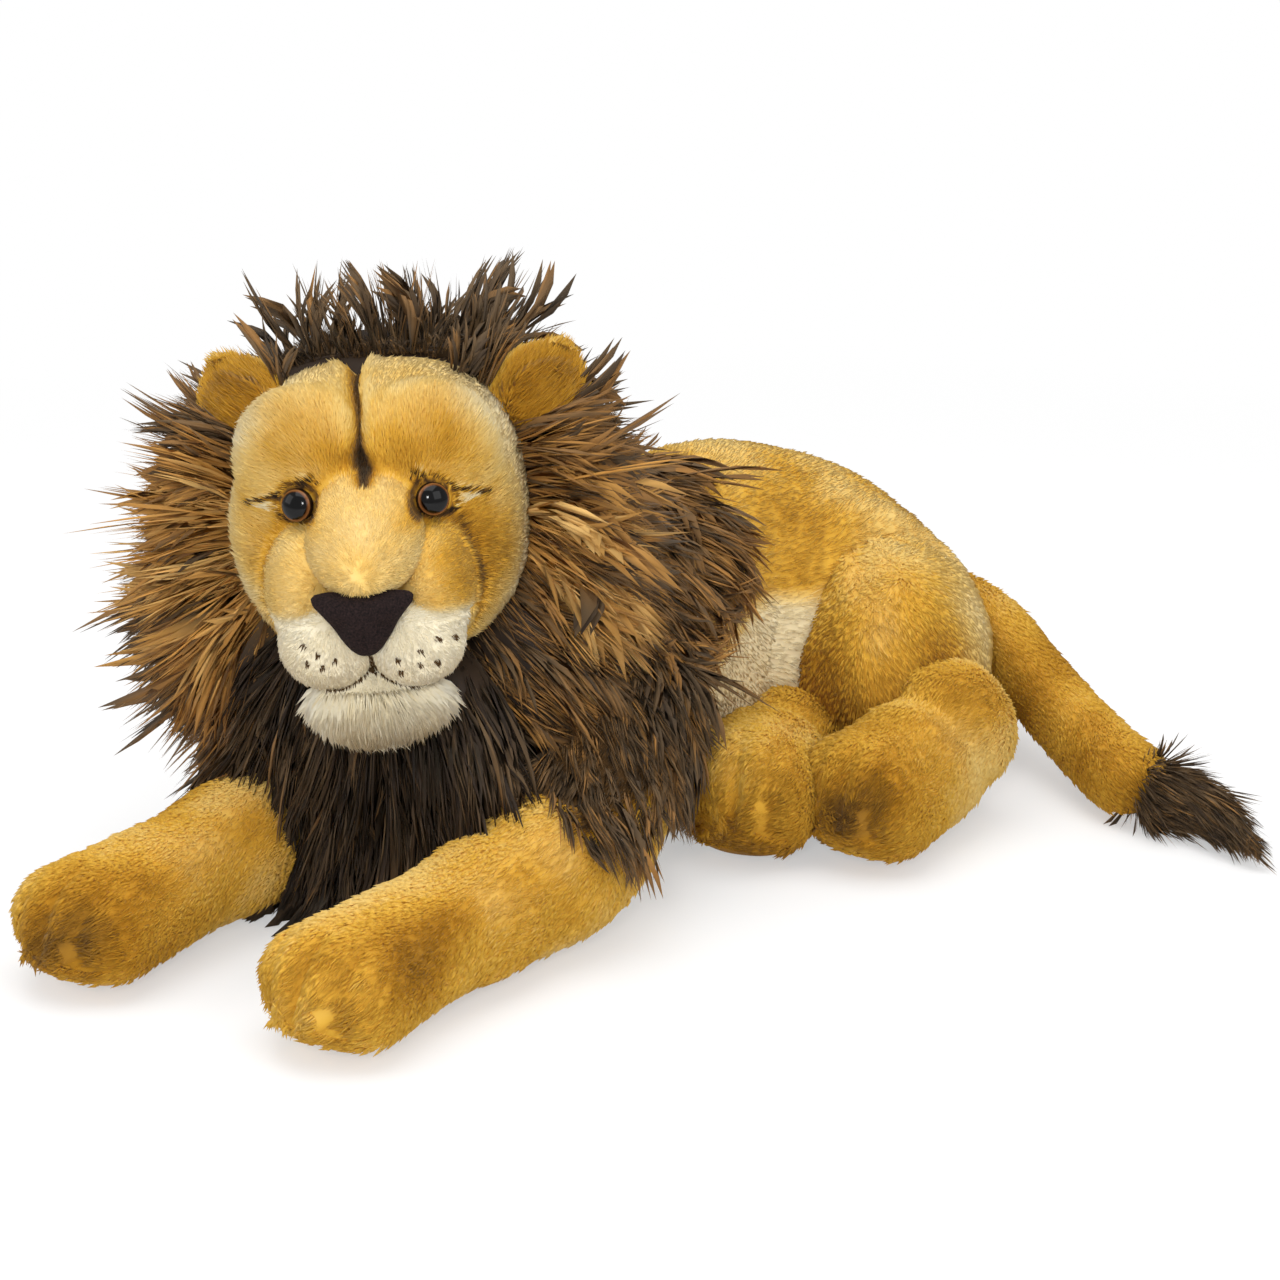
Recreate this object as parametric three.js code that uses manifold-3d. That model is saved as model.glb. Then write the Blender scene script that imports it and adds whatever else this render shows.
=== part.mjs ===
// A plush lion lying on its belly, head turned to its left, both forelegs stretched out in front.
// Millimetres, +Z up. The lion looks along -Y, its left side is +X, and the origin is the point of
// its belly that rests on the floor. Every solid is a sewn, stuffed or moulded piece of the toy at its
// real size, measured over the tips of its short pile.

import * as THREE from 'three';
import { mergeVertices } from 'three/addons/utils/BufferGeometryUtils.js';
import Module from 'manifold-3d';

// Driving dimensions

const cloth = {
  wall: 7,            // thickness of a plush skin, backing and pile together
  gap: 0.3,           // clearance between two pieces that touch
  floorDip: 0.5,      // how deep the floor flattens a stuffed form
};

const torso = { length: 540, width: 180, height: 213 };
const belly = { length: 300, width: 165, height: 176, toLeft: 38, forward: 10 };
const neck = { length: 150, width: 74, height: 74, forward: 180, above: 150, riseDegrees: -50 };

const haunch = { length: 186, width: 120, height: 152, left: 117, back: 112, above: 83, turn: 0 };
const haunchRight = { left: -42, back: 122, above: 82, turn: 4 };
const hindFoot = { length: 156, width: 90, height: 84, left: 176, back: 22, turn: -3 };
const hindFootRight = { left: 100, back: -14, turn: 18 };
const foreleg = { length: 350, width: 92, height: 88, toSide: 82, forward: 256, lead: 0, turn: -2 };
const forelegs = { toLeft: 9 };
const forelegRight = { lead: 14, turn: 1 };

const head = { width: 172, depth: 172, height: 182, left: -20, forward: 217, above: 222 };
const headPose = { yawDegrees: 34, pitchDegrees: 4, rollDegrees: -3 };

const brow = { width: 80, depth: 56, height: 78, toSide: 39, forward: 56, above: 56, leanDegrees: 18 };
const cheek = { width: 52, depth: 66, height: 104, toSide: 58, forward: 44, below: 16 };
const bridge = { width: 64, depth: 84, height: 48, forward: 90, above: 12, dropDegrees: 36 };
const flew = { width: 46, depth: 78, height: 64, toSide: 34, forward: 72, below: 18 };
const lip = { width: 56, depth: 58, height: 56, toSide: 26, forward: 92, below: 46 };
const nose = { width: 54, height: 40, thick: 9, corner: 7, bevel: 3, below: 6, leanDegrees: 14 };
const chin = { width: 86, depth: 54, height: 44, forward: 72, below: 79 };

const eye = { across: 18, dome: 6.5, rim: 1.6, shank: 6, shankLength: 19, toSide: 35, above: 27 };
const eyeAim = { outDegrees: 20, upDegrees: 8 };
const washer = { across: 20, thick: 3, hub: 9, hubLength: 6, clearance: 0.3, seat: 4 };

const ear = { width: 58, depth: 26, height: 64, toSide: 80, back: 4, above: 66 };
const earPose = { leanDegrees: 28, turnDegrees: 14 };
const earLining = { width: 42, depth: 14, height: 46, forward: 12 };

const crown = { toLeft: 9 };
const collar = { width: 208, height: 206, tube: 72, back: 24, below: 26, flareShare: 0.38 };
const crest = { length: 176, width: 84, height: 62, back: 20, above: 90 };
const cape = { length: 256, width: 224, height: 214, left: -18, forward: 92, above: 120 };
const nape = { width: 178, depth: 92, height: 196, back: 66, above: 6 };
const bib = { width: 176, depth: 92, height: 190, left: -16, forward: 232 };

const tail = { length: 205, width: 54, height: 54, rootLeft: 84, rootBack: 228, rootAbove: 76 };
const tailSwing = { backDegrees: 20, forwardDegrees: 12, clearance: 1.4, sweptSteps: 4 };
const tuft = { length: 98, width: 52, height: 46, left: 262, forward: 94, turn: -82 };

// Shapes as shares of the sizes above. A stuffed form's stations are
// [along, across, up, wide, tall]: the centre of a section, then its full width and full height.

const torsoStationShares = [
  [-0.454, 0.00, 0.33, 0.80, 0.62], [-0.370, 0.00, 0.36, 0.86, 0.72], [-0.260, 0.00, 0.43, 0.94, 0.86],
  [-0.110, 0.00, 0.49, 0.96, 0.98], [0.000, 0.00, 0.50, 0.95, 1.00], [0.110, 0.03, 0.50, 0.96, 1.00],
  [0.222, 0.08, 0.465, 1.00, 0.94], [0.333, 0.15, 0.375, 1.00, 0.78], [0.426, 0.21, 0.29, 0.90, 0.60],
  [0.520, 0.28, 0.26, 0.76, 0.48],
];
const bellyStationShares = [
  [-0.50, 0.00, 0.28, 0.70, 0.80], [-0.20, 0.00, 0.25, 1.00, 1.00], [0.20, 0.04, 0.28, 1.00, 1.10],
  [0.50, 0.10, 0.34, 0.80, 0.90],
];
const haunchStationShares = [
  [-0.46, 0.22, -0.14, 0.78, 0.68], [-0.22, 0.11, -0.06, 0.92, 0.86], [0.05, 0.00, 0.00, 1.00, 1.00],
  [0.28, -0.14, 0.04, 0.92, 0.94], [0.50, -0.28, 0.06, 0.74, 0.78],
];
const footStationShares = [
  [-0.50, 0.00, 0.42, 0.90, 0.80], [-0.30, 0.00, 0.48, 1.00, 0.96], [0.00, 0.00, 0.52, 0.98, 1.02],
  [0.28, 0.00, 0.74, 0.98, 1.16], [0.50, -0.06, 1.04, 0.90, 1.12],
];
const lowFootStationShares = [
  [-0.50, 0.00, 0.44, 0.92, 0.84], [-0.30, 0.00, 0.50, 1.02, 1.00], [0.00, 0.00, 0.50, 0.94, 0.98],
  [0.28, 0.00, 0.54, 0.94, 0.98], [0.50, -0.06, 0.66, 0.88, 0.92],
];
const forelegStationShares = [
  [-0.500, 0.00, 0.34, 0.86, 0.64], [-0.400, 0.00, 0.40, 1.00, 0.80], [-0.250, 0.00, 0.44, 0.90, 0.88],
  [-0.040, 0.02, 0.48, 0.92, 0.94], [0.160, 0.00, 0.60, 1.00, 1.08], [0.330, -0.16, 1.00, 0.92, 1.10],
  [0.500, -0.42, 1.45, 0.76, 0.92],
];
const headStationShares = [
  [0.02, 0.00, -0.50, 0.72, 0.72], [0.02, 0.00, -0.30, 0.92, 0.90], [0.00, 0.00, -0.08, 1.00, 0.98],
  [0.00, 0.00, 0.12, 0.99, 1.00], [0.02, 0.00, 0.32, 0.88, 0.92], [0.04, 0.00, 0.50, 0.68, 0.72],
];
const padStationShares = [
  [-0.50, 0.00, 0.00, 0.84, 0.84], [-0.18, 0.00, 0.00, 1.00, 1.00], [0.18, 0.00, 0.00, 1.00, 1.00],
  [0.50, 0.00, 0.00, 0.84, 0.84],
];
const earStationShares = [
  [0.00, 0.00, -0.50, 0.92, 1.00], [0.00, 0.00, -0.10, 1.00, 1.00], [0.00, 0.02, 0.22, 0.92, 0.86],
  [0.00, 0.04, 0.50, 0.62, 0.60],
];
const crestStationShares = [
  [-0.50, 0.00, -0.40, 0.62, 0.62], [-0.25, 0.00, 0.00, 0.92, 0.94], [0.05, 0.02, 0.04, 1.00, 1.00],
  [0.30, 0.04, -0.04, 0.90, 0.92], [0.50, 0.02, -0.44, 0.60, 0.62],
];
const capeStationShares = [
  [-0.50, -0.02, 0.02, 0.84, 0.80], [-0.22, 0.00, 0.00, 1.00, 1.00], [0.10, 0.02, 0.01, 0.96, 0.99],
  [0.34, 0.06, 0.05, 0.86, 0.92], [0.50, 0.08, 0.10, 0.78, 0.82],
];
const bibStationShares = [
  [0.06, 0.00, 0.00, 0.60, 0.70], [0.02, 0.00, 0.24, 0.84, 0.96], [0.00, 0.00, 0.55, 1.00, 1.04],
  [0.00, 0.00, 0.82, 0.96, 1.00], [0.00, 0.00, 1.00, 0.80, 0.90],
];
const tailStationShares = [
  [-0.14, 0.00, 0.00, 0.92, 0.92], [0.00, 0.00, 0.00, 1.00, 1.00], [0.18, 0.14, -0.14, 0.96, 0.96],
  [0.40, 0.56, -0.52, 0.96, 0.96], [0.64, 1.12, -0.82, 0.98, 0.98], [0.87, 1.70, -0.98, 1.00, 1.00],
  [1.02, 1.98, -1.02, 0.94, 0.94],
];
const tuftStationShares = [
  [0.00, 0.00, 0.00, 0.72, 0.78], [0.22, 0.04, -0.02, 1.00, 1.00], [0.55, 0.26, -0.06, 0.86, 0.86],
  [0.82, 0.56, -0.14, 0.54, 0.56], [1.00, 0.86, -0.24, 0.26, 0.28],
];
const halfTurn = 180;
const roundShares = { torso: 0.15, full: 0.42, limb: 0.14, foot: 0.26, skull: 0.40, tail: 0.11 };
const eyeForwardShare = 0.90;
const neckSideShare = 0.5;
const noseForwardShare = 0.40;

// Counts: how finely each form is drawn

const fine = { rings: 8, capRings: 3, sides: 18 };
const medium = { rings: 5, capRings: 3, sides: 12 };
const slim = { rings: 5, capRings: 2, sides: 10 };
const small = { rings: 2, capRings: 2, sides: 10 };
const inner = { rings: 3, capRings: 2, sides: 8 };
const turnCounts = { domeSteps: 3, sides: 14, ringSides: 9, ringSteps: 18, cornerSteps: 2, bevelSteps: 1 };

const UP = new THREE.Vector3(0, 0, 1);
const AHEAD = new THREE.Vector3(0, -1, 0);
const radians = THREE.MathUtils.degToRad;

// Solids: closed meshes that can be cut and joined

const library = await Module();
library.setup();

// The same surface with only its positions, each corner that faces share being one vertex
function welded(geometry) {
  const bare = geometry.clone();
  for (const name of Object.keys(bare.attributes)) {
    if (name !== 'position') bare.deleteAttribute(name);
  }
  return mergeVertices(bare);
}

function solidFrom(geometry) {
  const merged = welded(geometry);
  return new library.Manifold(new library.Mesh({
    numProp: 3,
    vertProperties: new Float32Array(merged.attributes.position.array),
    triVerts: new Uint32Array(merged.index.array),
  }));
}

function trianglesOf(solid) {
  const mesh = solid.getMesh();
  const places = new Float32Array(mesh.numVert * 3);
  for (let vertex = 0; vertex < mesh.numVert; vertex += 1) {
    for (let axis = 0; axis < 3; axis += 1) {
      places[3 * vertex + axis] = mesh.vertProperties[mesh.numProp * vertex + axis];
    }
  }
  return { places, corners: mesh.triVerts };
}

// Splits a mesh into its connected bodies and returns the triangles of the one with the most volume.
function largestBody({ places, corners }) {
  const parent = Array.from({ length: places.length / 3 }, (_, vertex) => vertex);
  const rootOf = (vertex) => {
    let root = vertex;
    while (parent[root] !== root) root = parent[root];
    parent[vertex] = root;
    return root;
  };
  for (let first = 0; first < corners.length; first += 3) {
    parent[rootOf(corners[first + 1])] = rootOf(corners[first]);
    parent[rootOf(corners[first + 2])] = rootOf(corners[first]);
  }
  const volumes = new Map();
  const corner = (index) => new THREE.Vector3().fromArray(places, 3 * corners[index]);
  for (let first = 0; first < corners.length; first += 3) {
    const root = rootOf(corners[first]);
    const slice = corner(first).dot(corner(first + 1).cross(corner(first + 2)));
    volumes.set(root, (volumes.get(root) ?? 0) + slice);
  }
  const largest = [...volumes].sort((one, other) => other[1] - one[1])[0][0];
  const kept = [];
  for (let first = 0; first < corners.length; first += 3) {
    if (rootOf(corners[first]) === largest) kept.push(...corners.slice(first, first + 3));
  }
  return kept;
}

function geometryFrom(solid) {
  const { places, corners } = trianglesOf(solid);
  const geometry = new THREE.BufferGeometry();
  geometry.setAttribute('position', new THREE.BufferAttribute(places, 3));
  geometry.setIndex(largestBody({ places, corners }));
  const packed = geometry.toNonIndexed();
  packed.computeVertexNormals();
  return packed;
}

const cut = (solid, cutters) => cutters.reduce((left, cutter) => left.subtract(cutter), solid);

// Stuffed forms

// Rings of a rounded section carried along a smooth line through the stations, closed at each end by a
// round cap that takes up capShare of the length. The section is a superellipse, squarer than an ellipse.
function loft({ stationShares, size, capShare, side = 1, squareness = 2.3, up = UP }, detail) {
  const length = size.length ?? size.depth;
  const centres = new THREE.CatmullRomCurve3(stationShares.map(([along, across, above]) => (
    new THREE.Vector3(side * across * size.width, along * length, above * size.height))));
  const girths = new THREE.CatmullRomCurve3(stationShares.map(([, , , wide, tall]) => (
    new THREE.Vector3(wide * size.width / 2, tall * (size.depth ?? size.height) / 2, 0))));
  const rings = [];
  for (let ring = 1; ring <= detail.capRings; ring += 1) {
    const turn = (Math.PI / 2) * (ring / detail.capRings);
    rings.push({ along: capShare * (1 - Math.cos(turn)), swell: Math.sin(turn) });
  }
  for (let ring = 1; ring < detail.rings; ring += 1) {
    rings.push({ along: capShare + (1 - 2 * capShare) * (ring / detail.rings), swell: 1 });
  }
  for (let ring = detail.capRings; ring >= 1; ring -= 1) {
    const { along, swell } = rings[ring - 1];
    rings.push({ along: 1 - along, swell });
  }
  const vertices = [centres.getPoint(0)];
  for (const { along, swell } of rings) {
    const step = centres.getUtoTmapping(along);
    const centre = centres.getPoint(step);
    const tangent = centres.getTangent(step);
    const girth = girths.getPoint(step);
    const acrossAxis = new THREE.Vector3().crossVectors(up, tangent).normalize();
    const tallAxis = new THREE.Vector3().crossVectors(tangent, acrossAxis);
    for (let index = 0; index < detail.sides; index += 1) {
      const angle = (2 * Math.PI * index) / detail.sides;
      const [cosine, sine] = [Math.cos(angle), Math.sin(angle)];
      const stretch = (Math.abs(cosine) ** squareness + Math.abs(sine) ** squareness) ** (-1 / squareness);
      vertices.push(centre.clone()
        .addScaledVector(acrossAxis, swell * stretch * cosine * girth.x)
        .addScaledVector(tallAxis, swell * stretch * sine * girth.y));
    }
  }
  vertices.push(centres.getPoint(1));
  return closedGrid(vertices, rings.length, detail.sides);
}

// Joins a first pole, rows of vertices and a last pole into one closed surface.
function closedGrid(vertices, rows, sides) {
  const faces = [];
  const at = (row, index) => 1 + row * sides + (index % sides);
  const last = vertices.length - 1;
  for (let index = 0; index < sides; index += 1) {
    faces.push(0, at(0, index + 1), at(0, index));
    for (let row = 0; row + 1 < rows; row += 1) {
      faces.push(at(row, index), at(row, index + 1), at(row + 1, index));
      faces.push(at(row, index + 1), at(row + 1, index + 1), at(row + 1, index));
    }
    faces.push(at(rows - 1, index), at(rows - 1, index + 1), last);
  }
  const geometry = new THREE.BufferGeometry().setFromPoints(vertices);
  geometry.setIndex(faces);
  return geometry;
}

// Moves every vertex outwards along the surface normal, or inwards where the distance is negative.
function grown(geometry, distance) {
  const moved = welded(geometry);
  moved.computeVertexNormals();
  const { position, normal } = moved.attributes;
  for (let vertex = 0; vertex < position.count; vertex += 1) {
    position.setXYZ(
      vertex,
      position.getX(vertex) + distance * normal.getX(vertex),
      position.getY(vertex) + distance * normal.getY(vertex),
      position.getZ(vertex) + distance * normal.getZ(vertex),
    );
  }
  return moved;
}

// A form in its place: `at(distance)` gives its solid grown by that distance.
function placedForm(shape, detail, matrix, { onFloor = false } = {}) {
  const rest = loft(shape, detail).applyMatrix4(matrix);
  rest.computeBoundingBox();
  const lift = onFloor ? -cloth.floorDip - rest.boundingBox.min.z : 0;
  const put = (distance, chosen = detail) => {
    const geometry = grown(loft(shape, chosen).applyMatrix4(matrix), distance);
    return solidFrom(geometry.translate(0, 0, lift));
  };
  return { at: put, lift };
}

const placeAt = (x, y, z) => new THREE.Matrix4().makeTranslation(x, y, z);
const turned = (degreesX, degreesY, degreesZ) => new THREE.Matrix4().makeRotationFromEuler(
  new THREE.Euler(radians(degreesX), radians(degreesY), radians(degreesZ), 'ZXY'));
const combined = (...matrices) => matrices.reduce((all, next) => all.multiply(next), new THREE.Matrix4());

// Everything higher than a level above the floor
const roomSize = torso.length + foreleg.length + tail.length;
const aboveFloor = (level) => solidFrom(new THREE.BoxGeometry(roomSize, roomSize, roomSize)
  .translate(0, 0, level + roomSize / 2));

// Materials: one finish for each cloth and moulding

const finish = (color, roughness, metalness = 0) => (
  () => new THREE.MeshStandardMaterial({ color, roughness, metalness }));
const goldenPlush = finish(0xc08a4a, 0.95);
const paleGoldPlush = finish(0xcfa768, 0.95);
const creamPlush = finish(0xe8dcc2, 0.95);
const darkMane = finish(0x3a2a20, 0.9);
const caramelMane = finish(0x9a6334, 0.9);
const velour = finish(0x2b2024, 0.85);
const eyePlastic = finish(0x2a1508, 0.08);
const washerPlastic = finish(0xd8d8d2, 0.4);
const fibreFill = finish(0xf2f0ea, 1);

// The toy, with the head and the tail in groups of their own

const lion = new THREE.Group();
const headGroup = new THREE.Group();
const tailGroup = new THREE.Group();
lion.add(headGroup, tailGroup);
headGroup.position.set(head.left, -head.forward, head.above);
headGroup.rotation.copy(new THREE.Euler(
  radians(-headPose.pitchDegrees), radians(headPose.rollDegrees), radians(headPose.yawDegrees), 'ZXY'));
tailGroup.position.set(tail.rootLeft, tail.rootBack, tail.rootAbove);
lion.updateMatrixWorld(true);
const inHead = (x, y, z) => combined(headGroup.matrixWorld.clone(), placeAt(x, y, z));

function addPiece(group, name, solid, material) {
  const geometry = geometryFrom(solid).applyMatrix4(group.matrixWorld.clone().invert());
  const mesh = new THREE.Mesh(geometry, material());
  mesh.name = name;
  group.add(mesh);
}

// Space that is taken: the pieces made so far, each grown by the gap
const taken = [];

// Adds a stuffed piece cut by all that is taken, hollows it to a skin and gives it a filling. The skin
// keeps its wall round each form in `around`, `openings` go through it, and a `panel` is cut out of it as
// a piece of its own.
function addStuffed(group, name, form, material, { openings = [], around = [], panel = null } = {}) {
  const cutters = [...taken];
  const outside = cut(form.at(0), cutters).intersect(aboveFloor(0));
  const hollow = cut(form.at(-cloth.wall, inner), around.map((other) => other.at(cloth.wall)))
    .intersect(aboveFloor(cloth.wall));
  const skin = cut(outside, [hollow, ...openings]);
  addPiece(group, name, panel ? skin.subtract(panel.form.at(cloth.gap)) : skin, material);
  if (panel) addPiece(group, panel.name, skin.intersect(panel.form.at(0)), panel.material);
  const fillDepth = cloth.wall + cloth.gap;
  const filling = cut(form.at(-fillDepth, inner), [
    ...cutters, ...openings, ...around.map((other) => other.at(fillDepth))]);
  addPiece(group, `${name}_fill`, filling.intersect(aboveFloor(fillDepth)), fibreFill);
  taken.push(form.at(cloth.gap));
}

// Adds a pad or a tuft, which is sewn shut over its own filling and stays one solid.
function addPad(group, name, form, material) {
  addPiece(group, name, cut(form.at(0), taken).intersect(aboveFloor(0)), material);
  taken.push(form.at(cloth.gap));
}

// The tail swings about the upright line through its root, so the space that it sweeps is kept free

const tailShape = { stationShares: tailStationShares, size: tail, capShare: roundShares.tail };
const tuftShape = { stationShares: tuftStationShares, size: tuft, capShare: roundShares.limb };
const tailFormAt = (degrees) => placedForm(
  tailShape, slim, combined(tailGroup.matrixWorld.clone(), turned(0, 0, degrees - 90)), { onFloor: true });
const tuftFormAt = (degrees) => placedForm(tuftShape, slim, combined(
  tailGroup.matrixWorld.clone(), turned(0, 0, degrees),
  placeAt(tuft.left - tail.rootLeft, -tuft.forward, 0), turned(0, 0, tuft.turn)), { onFloor: true });
const tailForm = tailFormAt(0);
const tuftForm = tuftFormAt(0);

addPad(tailGroup, 'tail_tuft', tuftForm, darkMane);
addStuffed(tailGroup, 'tail', tailForm, goldenPlush);
taken.length = 0;
for (let step = 0; step <= tailSwing.sweptSteps; step += 1) {
  const swing = (tailSwing.backDegrees + tailSwing.forwardDegrees) * (step / tailSwing.sweptSteps);
  taken.push(tailFormAt(swing - tailSwing.forwardDegrees).at(tailSwing.clearance));
}

// Eyes: a dome with a rim, on a shank that goes through the skin and is held by a washer inside

const eyeSeat = (side) => combined(
  inHead(side * eye.toSide, -eyeForwardShare * head.depth / 2, eye.above),
  turned(-eyeAim.upDegrees, 0, side * eyeAim.outDegrees));

// A turned solid about its own axis, which points ahead along -Y. Profile points are [radius, ahead].
function turnedSolid(profile, matrix) {
  const points = profile.map(([radius, ahead]) => new THREE.Vector2(radius, ahead));
  const geometry = new THREE.LatheGeometry(points, turnCounts.sides).rotateX(Math.PI);
  return solidFrom(geometry.applyMatrix4(matrix));
}

function eyeProfile(grow) {
  const radius = eye.across / 2 + grow;
  const dome = Array.from({ length: turnCounts.domeSteps }, (_, step) => {
    const turn = (Math.PI / 2) * (step / turnCounts.domeSteps);
    return [radius * Math.cos(turn), eye.rim + (eye.dome + grow) * Math.sin(turn)];
  });
  return [
    [0, -eye.shankLength - grow], [eye.shank / 2 + grow, -eye.shankLength - grow],
    [eye.shank / 2 + grow, -grow], [radius, -grow], ...dome, [0, eye.rim + eye.dome + grow],
  ];
}

function washerProfile(grow) {
  const front = -cloth.wall - washer.seat + grow;
  const back = front - washer.thick - grow - grow;
  const hubBack = back - washer.hubLength;
  const bore = eye.shank / 2 + washer.clearance - grow;
  return [
    [bore, hubBack], [washer.hub / 2 + grow, hubBack], [washer.hub / 2 + grow, back],
    [washer.across / 2 + grow, back], [washer.across / 2 + grow, front], [bore, front], [bore, hubBack],
  ];
}

for (const [side, word] of [[1, 'left'], [-1, 'right']]) {
  addPiece(headGroup, `eye_${word}`, turnedSolid(eyeProfile(0), eyeSeat(side)), eyePlastic);
  addPiece(headGroup, `eye_washer_${word}`, turnedSolid(washerProfile(0), eyeSeat(side)), washerPlastic);
  taken.push(turnedSolid(eyeProfile(cloth.gap), eyeSeat(side)));
  taken.push(turnedSolid(washerProfile(cloth.gap), eyeSeat(side)));
}

// The trunk: torso and head, joined by a stuffed neck that goes through both skins

const torsoForm = placedForm(
  { stationShares: torsoStationShares, size: torso, capShare: roundShares.torso }, fine,
  placeAt(0, 0, 0), { onFloor: true });
const headForm = placedForm(
  { stationShares: headStationShares, size: head, capShare: roundShares.skull, up: AHEAD }, fine,
  inHead(0, 0, 0));
const neckForm = placedForm(
  { stationShares: padStationShares, size: neck, capShare: roundShares.limb }, medium,
  combined(placeAt(head.left * neckSideShare, -neck.forward, neck.above), turned(neck.riseDegrees, 0, 0)));
const bellyForm = placedForm(
  { stationShares: bellyStationShares, size: belly, capShare: roundShares.full }, medium,
  placeAt(belly.toLeft, -belly.forward, 0));
const neckOpening = neckForm.at(cloth.gap);

addStuffed(lion, 'torso', torsoForm, goldenPlush, {
  openings: [neckOpening], around: [tailForm],
  panel: { name: 'belly_panel', form: bellyForm, material: creamPlush } });
addStuffed(headGroup, 'head', headForm, goldenPlush, { openings: [neckOpening] });
addPiece(lion, 'neck_fill', neckForm.at(0), fibreFill);
taken.push(neckOpening);

// Legs: the haunches lie against the rolled hips, and the feet and forelegs lie on the floor

for (const [side, word] of [[1, 'left'], [-1, 'right']]) {
  const place = side > 0 ? haunch : haunchRight;
  const shape = { stationShares: haunchStationShares, size: haunch, capShare: roundShares.full, side };
  const seat = combined(placeAt(place.left, place.back, place.above), turned(0, 0, halfTurn + place.turn));
  addStuffed(lion, `haunch_${word}`, placedForm(shape, medium, seat), goldenPlush);
}
for (const [side, word] of [[1, 'left'], [-1, 'right']]) {
  const place = side > 0 ? hindFoot : hindFootRight;
  const stationShares = side > 0 ? footStationShares : lowFootStationShares;
  const shape = { stationShares, size: hindFoot, capShare: roundShares.foot, side };
  const seat = combined(placeAt(place.left, place.back, 0), turned(0, 0, place.turn));
  addStuffed(lion, `hind_foot_${word}`, placedForm(shape, medium, seat, { onFloor: true }), goldenPlush);
}
for (const [side, word] of [[1, 'left'], [-1, 'right']]) {
  const place = side > 0 ? foreleg : forelegRight;
  const shape = { stationShares: forelegStationShares, size: foreleg, capShare: roundShares.limb, side };
  const seat = combined(
    placeAt(forelegs.toLeft + side * foreleg.toSide, -foreleg.forward - place.lead, 0),
    turned(0, 0, side * place.turn));
  addStuffed(lion, `foreleg_${word}`, placedForm(shape, medium, seat, { onFloor: true }), goldenPlush);
}

// Face pads and ears, from the largest down

const uprightPadShares = padStationShares.map(([along, across, above, wide, tall]) => (
  [above, across, along, wide, tall]));
const uprightPad = (size) => (
  { stationShares: uprightPadShares, size, capShare: roundShares.full, up: AHEAD });
const lyingPad = (size) => ({
  stationShares: padStationShares,
  size: { ...size, length: size.depth, depth: size.height },
  capShare: roundShares.full,
});

const addFacePad = (name, shape, seat, material) => (
  addPad(headGroup, name, placedForm(shape, small, seat), material));

addFacePad('nose_bridge', lyingPad(bridge), combined(
  inHead(0, -bridge.forward, bridge.above), turned(bridge.dropDegrees, 0, 0)), paleGoldPlush);
for (const [side, word] of [[1, 'left'], [-1, 'right']]) {
  const padSeat = (pad, above) => inHead(side * pad.toSide, -pad.forward, above);
  addFacePad(`brow_${word}`, uprightPad(brow), combined(
    padSeat(brow, brow.above), turned(0, side * brow.leanDegrees, 0)), goldenPlush);
  addFacePad(`cheek_${word}`, uprightPad(cheek), padSeat(cheek, -cheek.below), goldenPlush);
  addFacePad(`lip_${word}`, lyingPad(lip), padSeat(lip, -lip.below), creamPlush);
  addFacePad(`flew_${word}`, lyingPad(flew), padSeat(flew, -flew.below), paleGoldPlush);
}
addFacePad('chin', lyingPad(chin), inHead(0, -chin.forward, -chin.below), creamPlush);

// Nose: a rounded triangle of velour, set against the front of the bridge and the lips
const noseFront = bridge.forward + bridge.depth * noseForwardShare;
const noseOutline = new THREE.Shape();
const noseHalf = nose.width / 2;
noseOutline.moveTo(-noseHalf + nose.corner, 0);
noseOutline.lineTo(noseHalf - nose.corner, 0);
noseOutline.quadraticCurveTo(noseHalf, 0, noseHalf - nose.corner / 2, -nose.corner);
noseOutline.lineTo(nose.corner / 2, -nose.height + nose.corner);
noseOutline.quadraticCurveTo(0, -nose.height, -nose.corner / 2, -nose.height + nose.corner);
noseOutline.lineTo(-noseHalf + nose.corner / 2, -nose.corner);
noseOutline.quadraticCurveTo(-noseHalf, 0, -noseHalf + nose.corner, 0);
const nosePad = new THREE.ExtrudeGeometry(noseOutline, {
  depth: nose.thick,
  curveSegments: turnCounts.cornerSteps,
  bevelThickness: nose.bevel,
  bevelSize: nose.bevel,
  bevelSegments: turnCounts.bevelSteps,
}).rotateX(Math.PI / 2);
const noseSeat = combined(inHead(0, -noseFront, -nose.below), turned(nose.leanDegrees, 0, 0));
const noseSolid = (distance) => solidFrom(grown(nosePad, distance).applyMatrix4(noseSeat));
addPad(headGroup, 'nose', { at: noseSolid }, velour);

// Ears, each with a lining set in its front

for (const [side, word] of [[1, 'left'], [-1, 'right']]) {
  const shapeOf = (size) => (
    { stationShares: earStationShares, size, capShare: roundShares.full, up: AHEAD });
  const seat = combined(
    inHead(crown.toLeft + side * ear.toSide, ear.back, ear.above),
    turned(0, side * earPose.leanDegrees, side * earPose.turnDegrees));
  const liningSeat = combined(seat.clone(), placeAt(0, -earLining.forward, 0));
  addFacePad(`ear_${word}`, shapeOf(ear), seat, goldenPlush);
  addFacePad(`ear_lining_${word}`, shapeOf(earLining), liningSeat, caramelMane);
}

// Mane: a collar round the face, a crest between the ears, a cape over the shoulders and a bib on the chest

// The collar is a ring that flares out sideways below its middle

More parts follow.
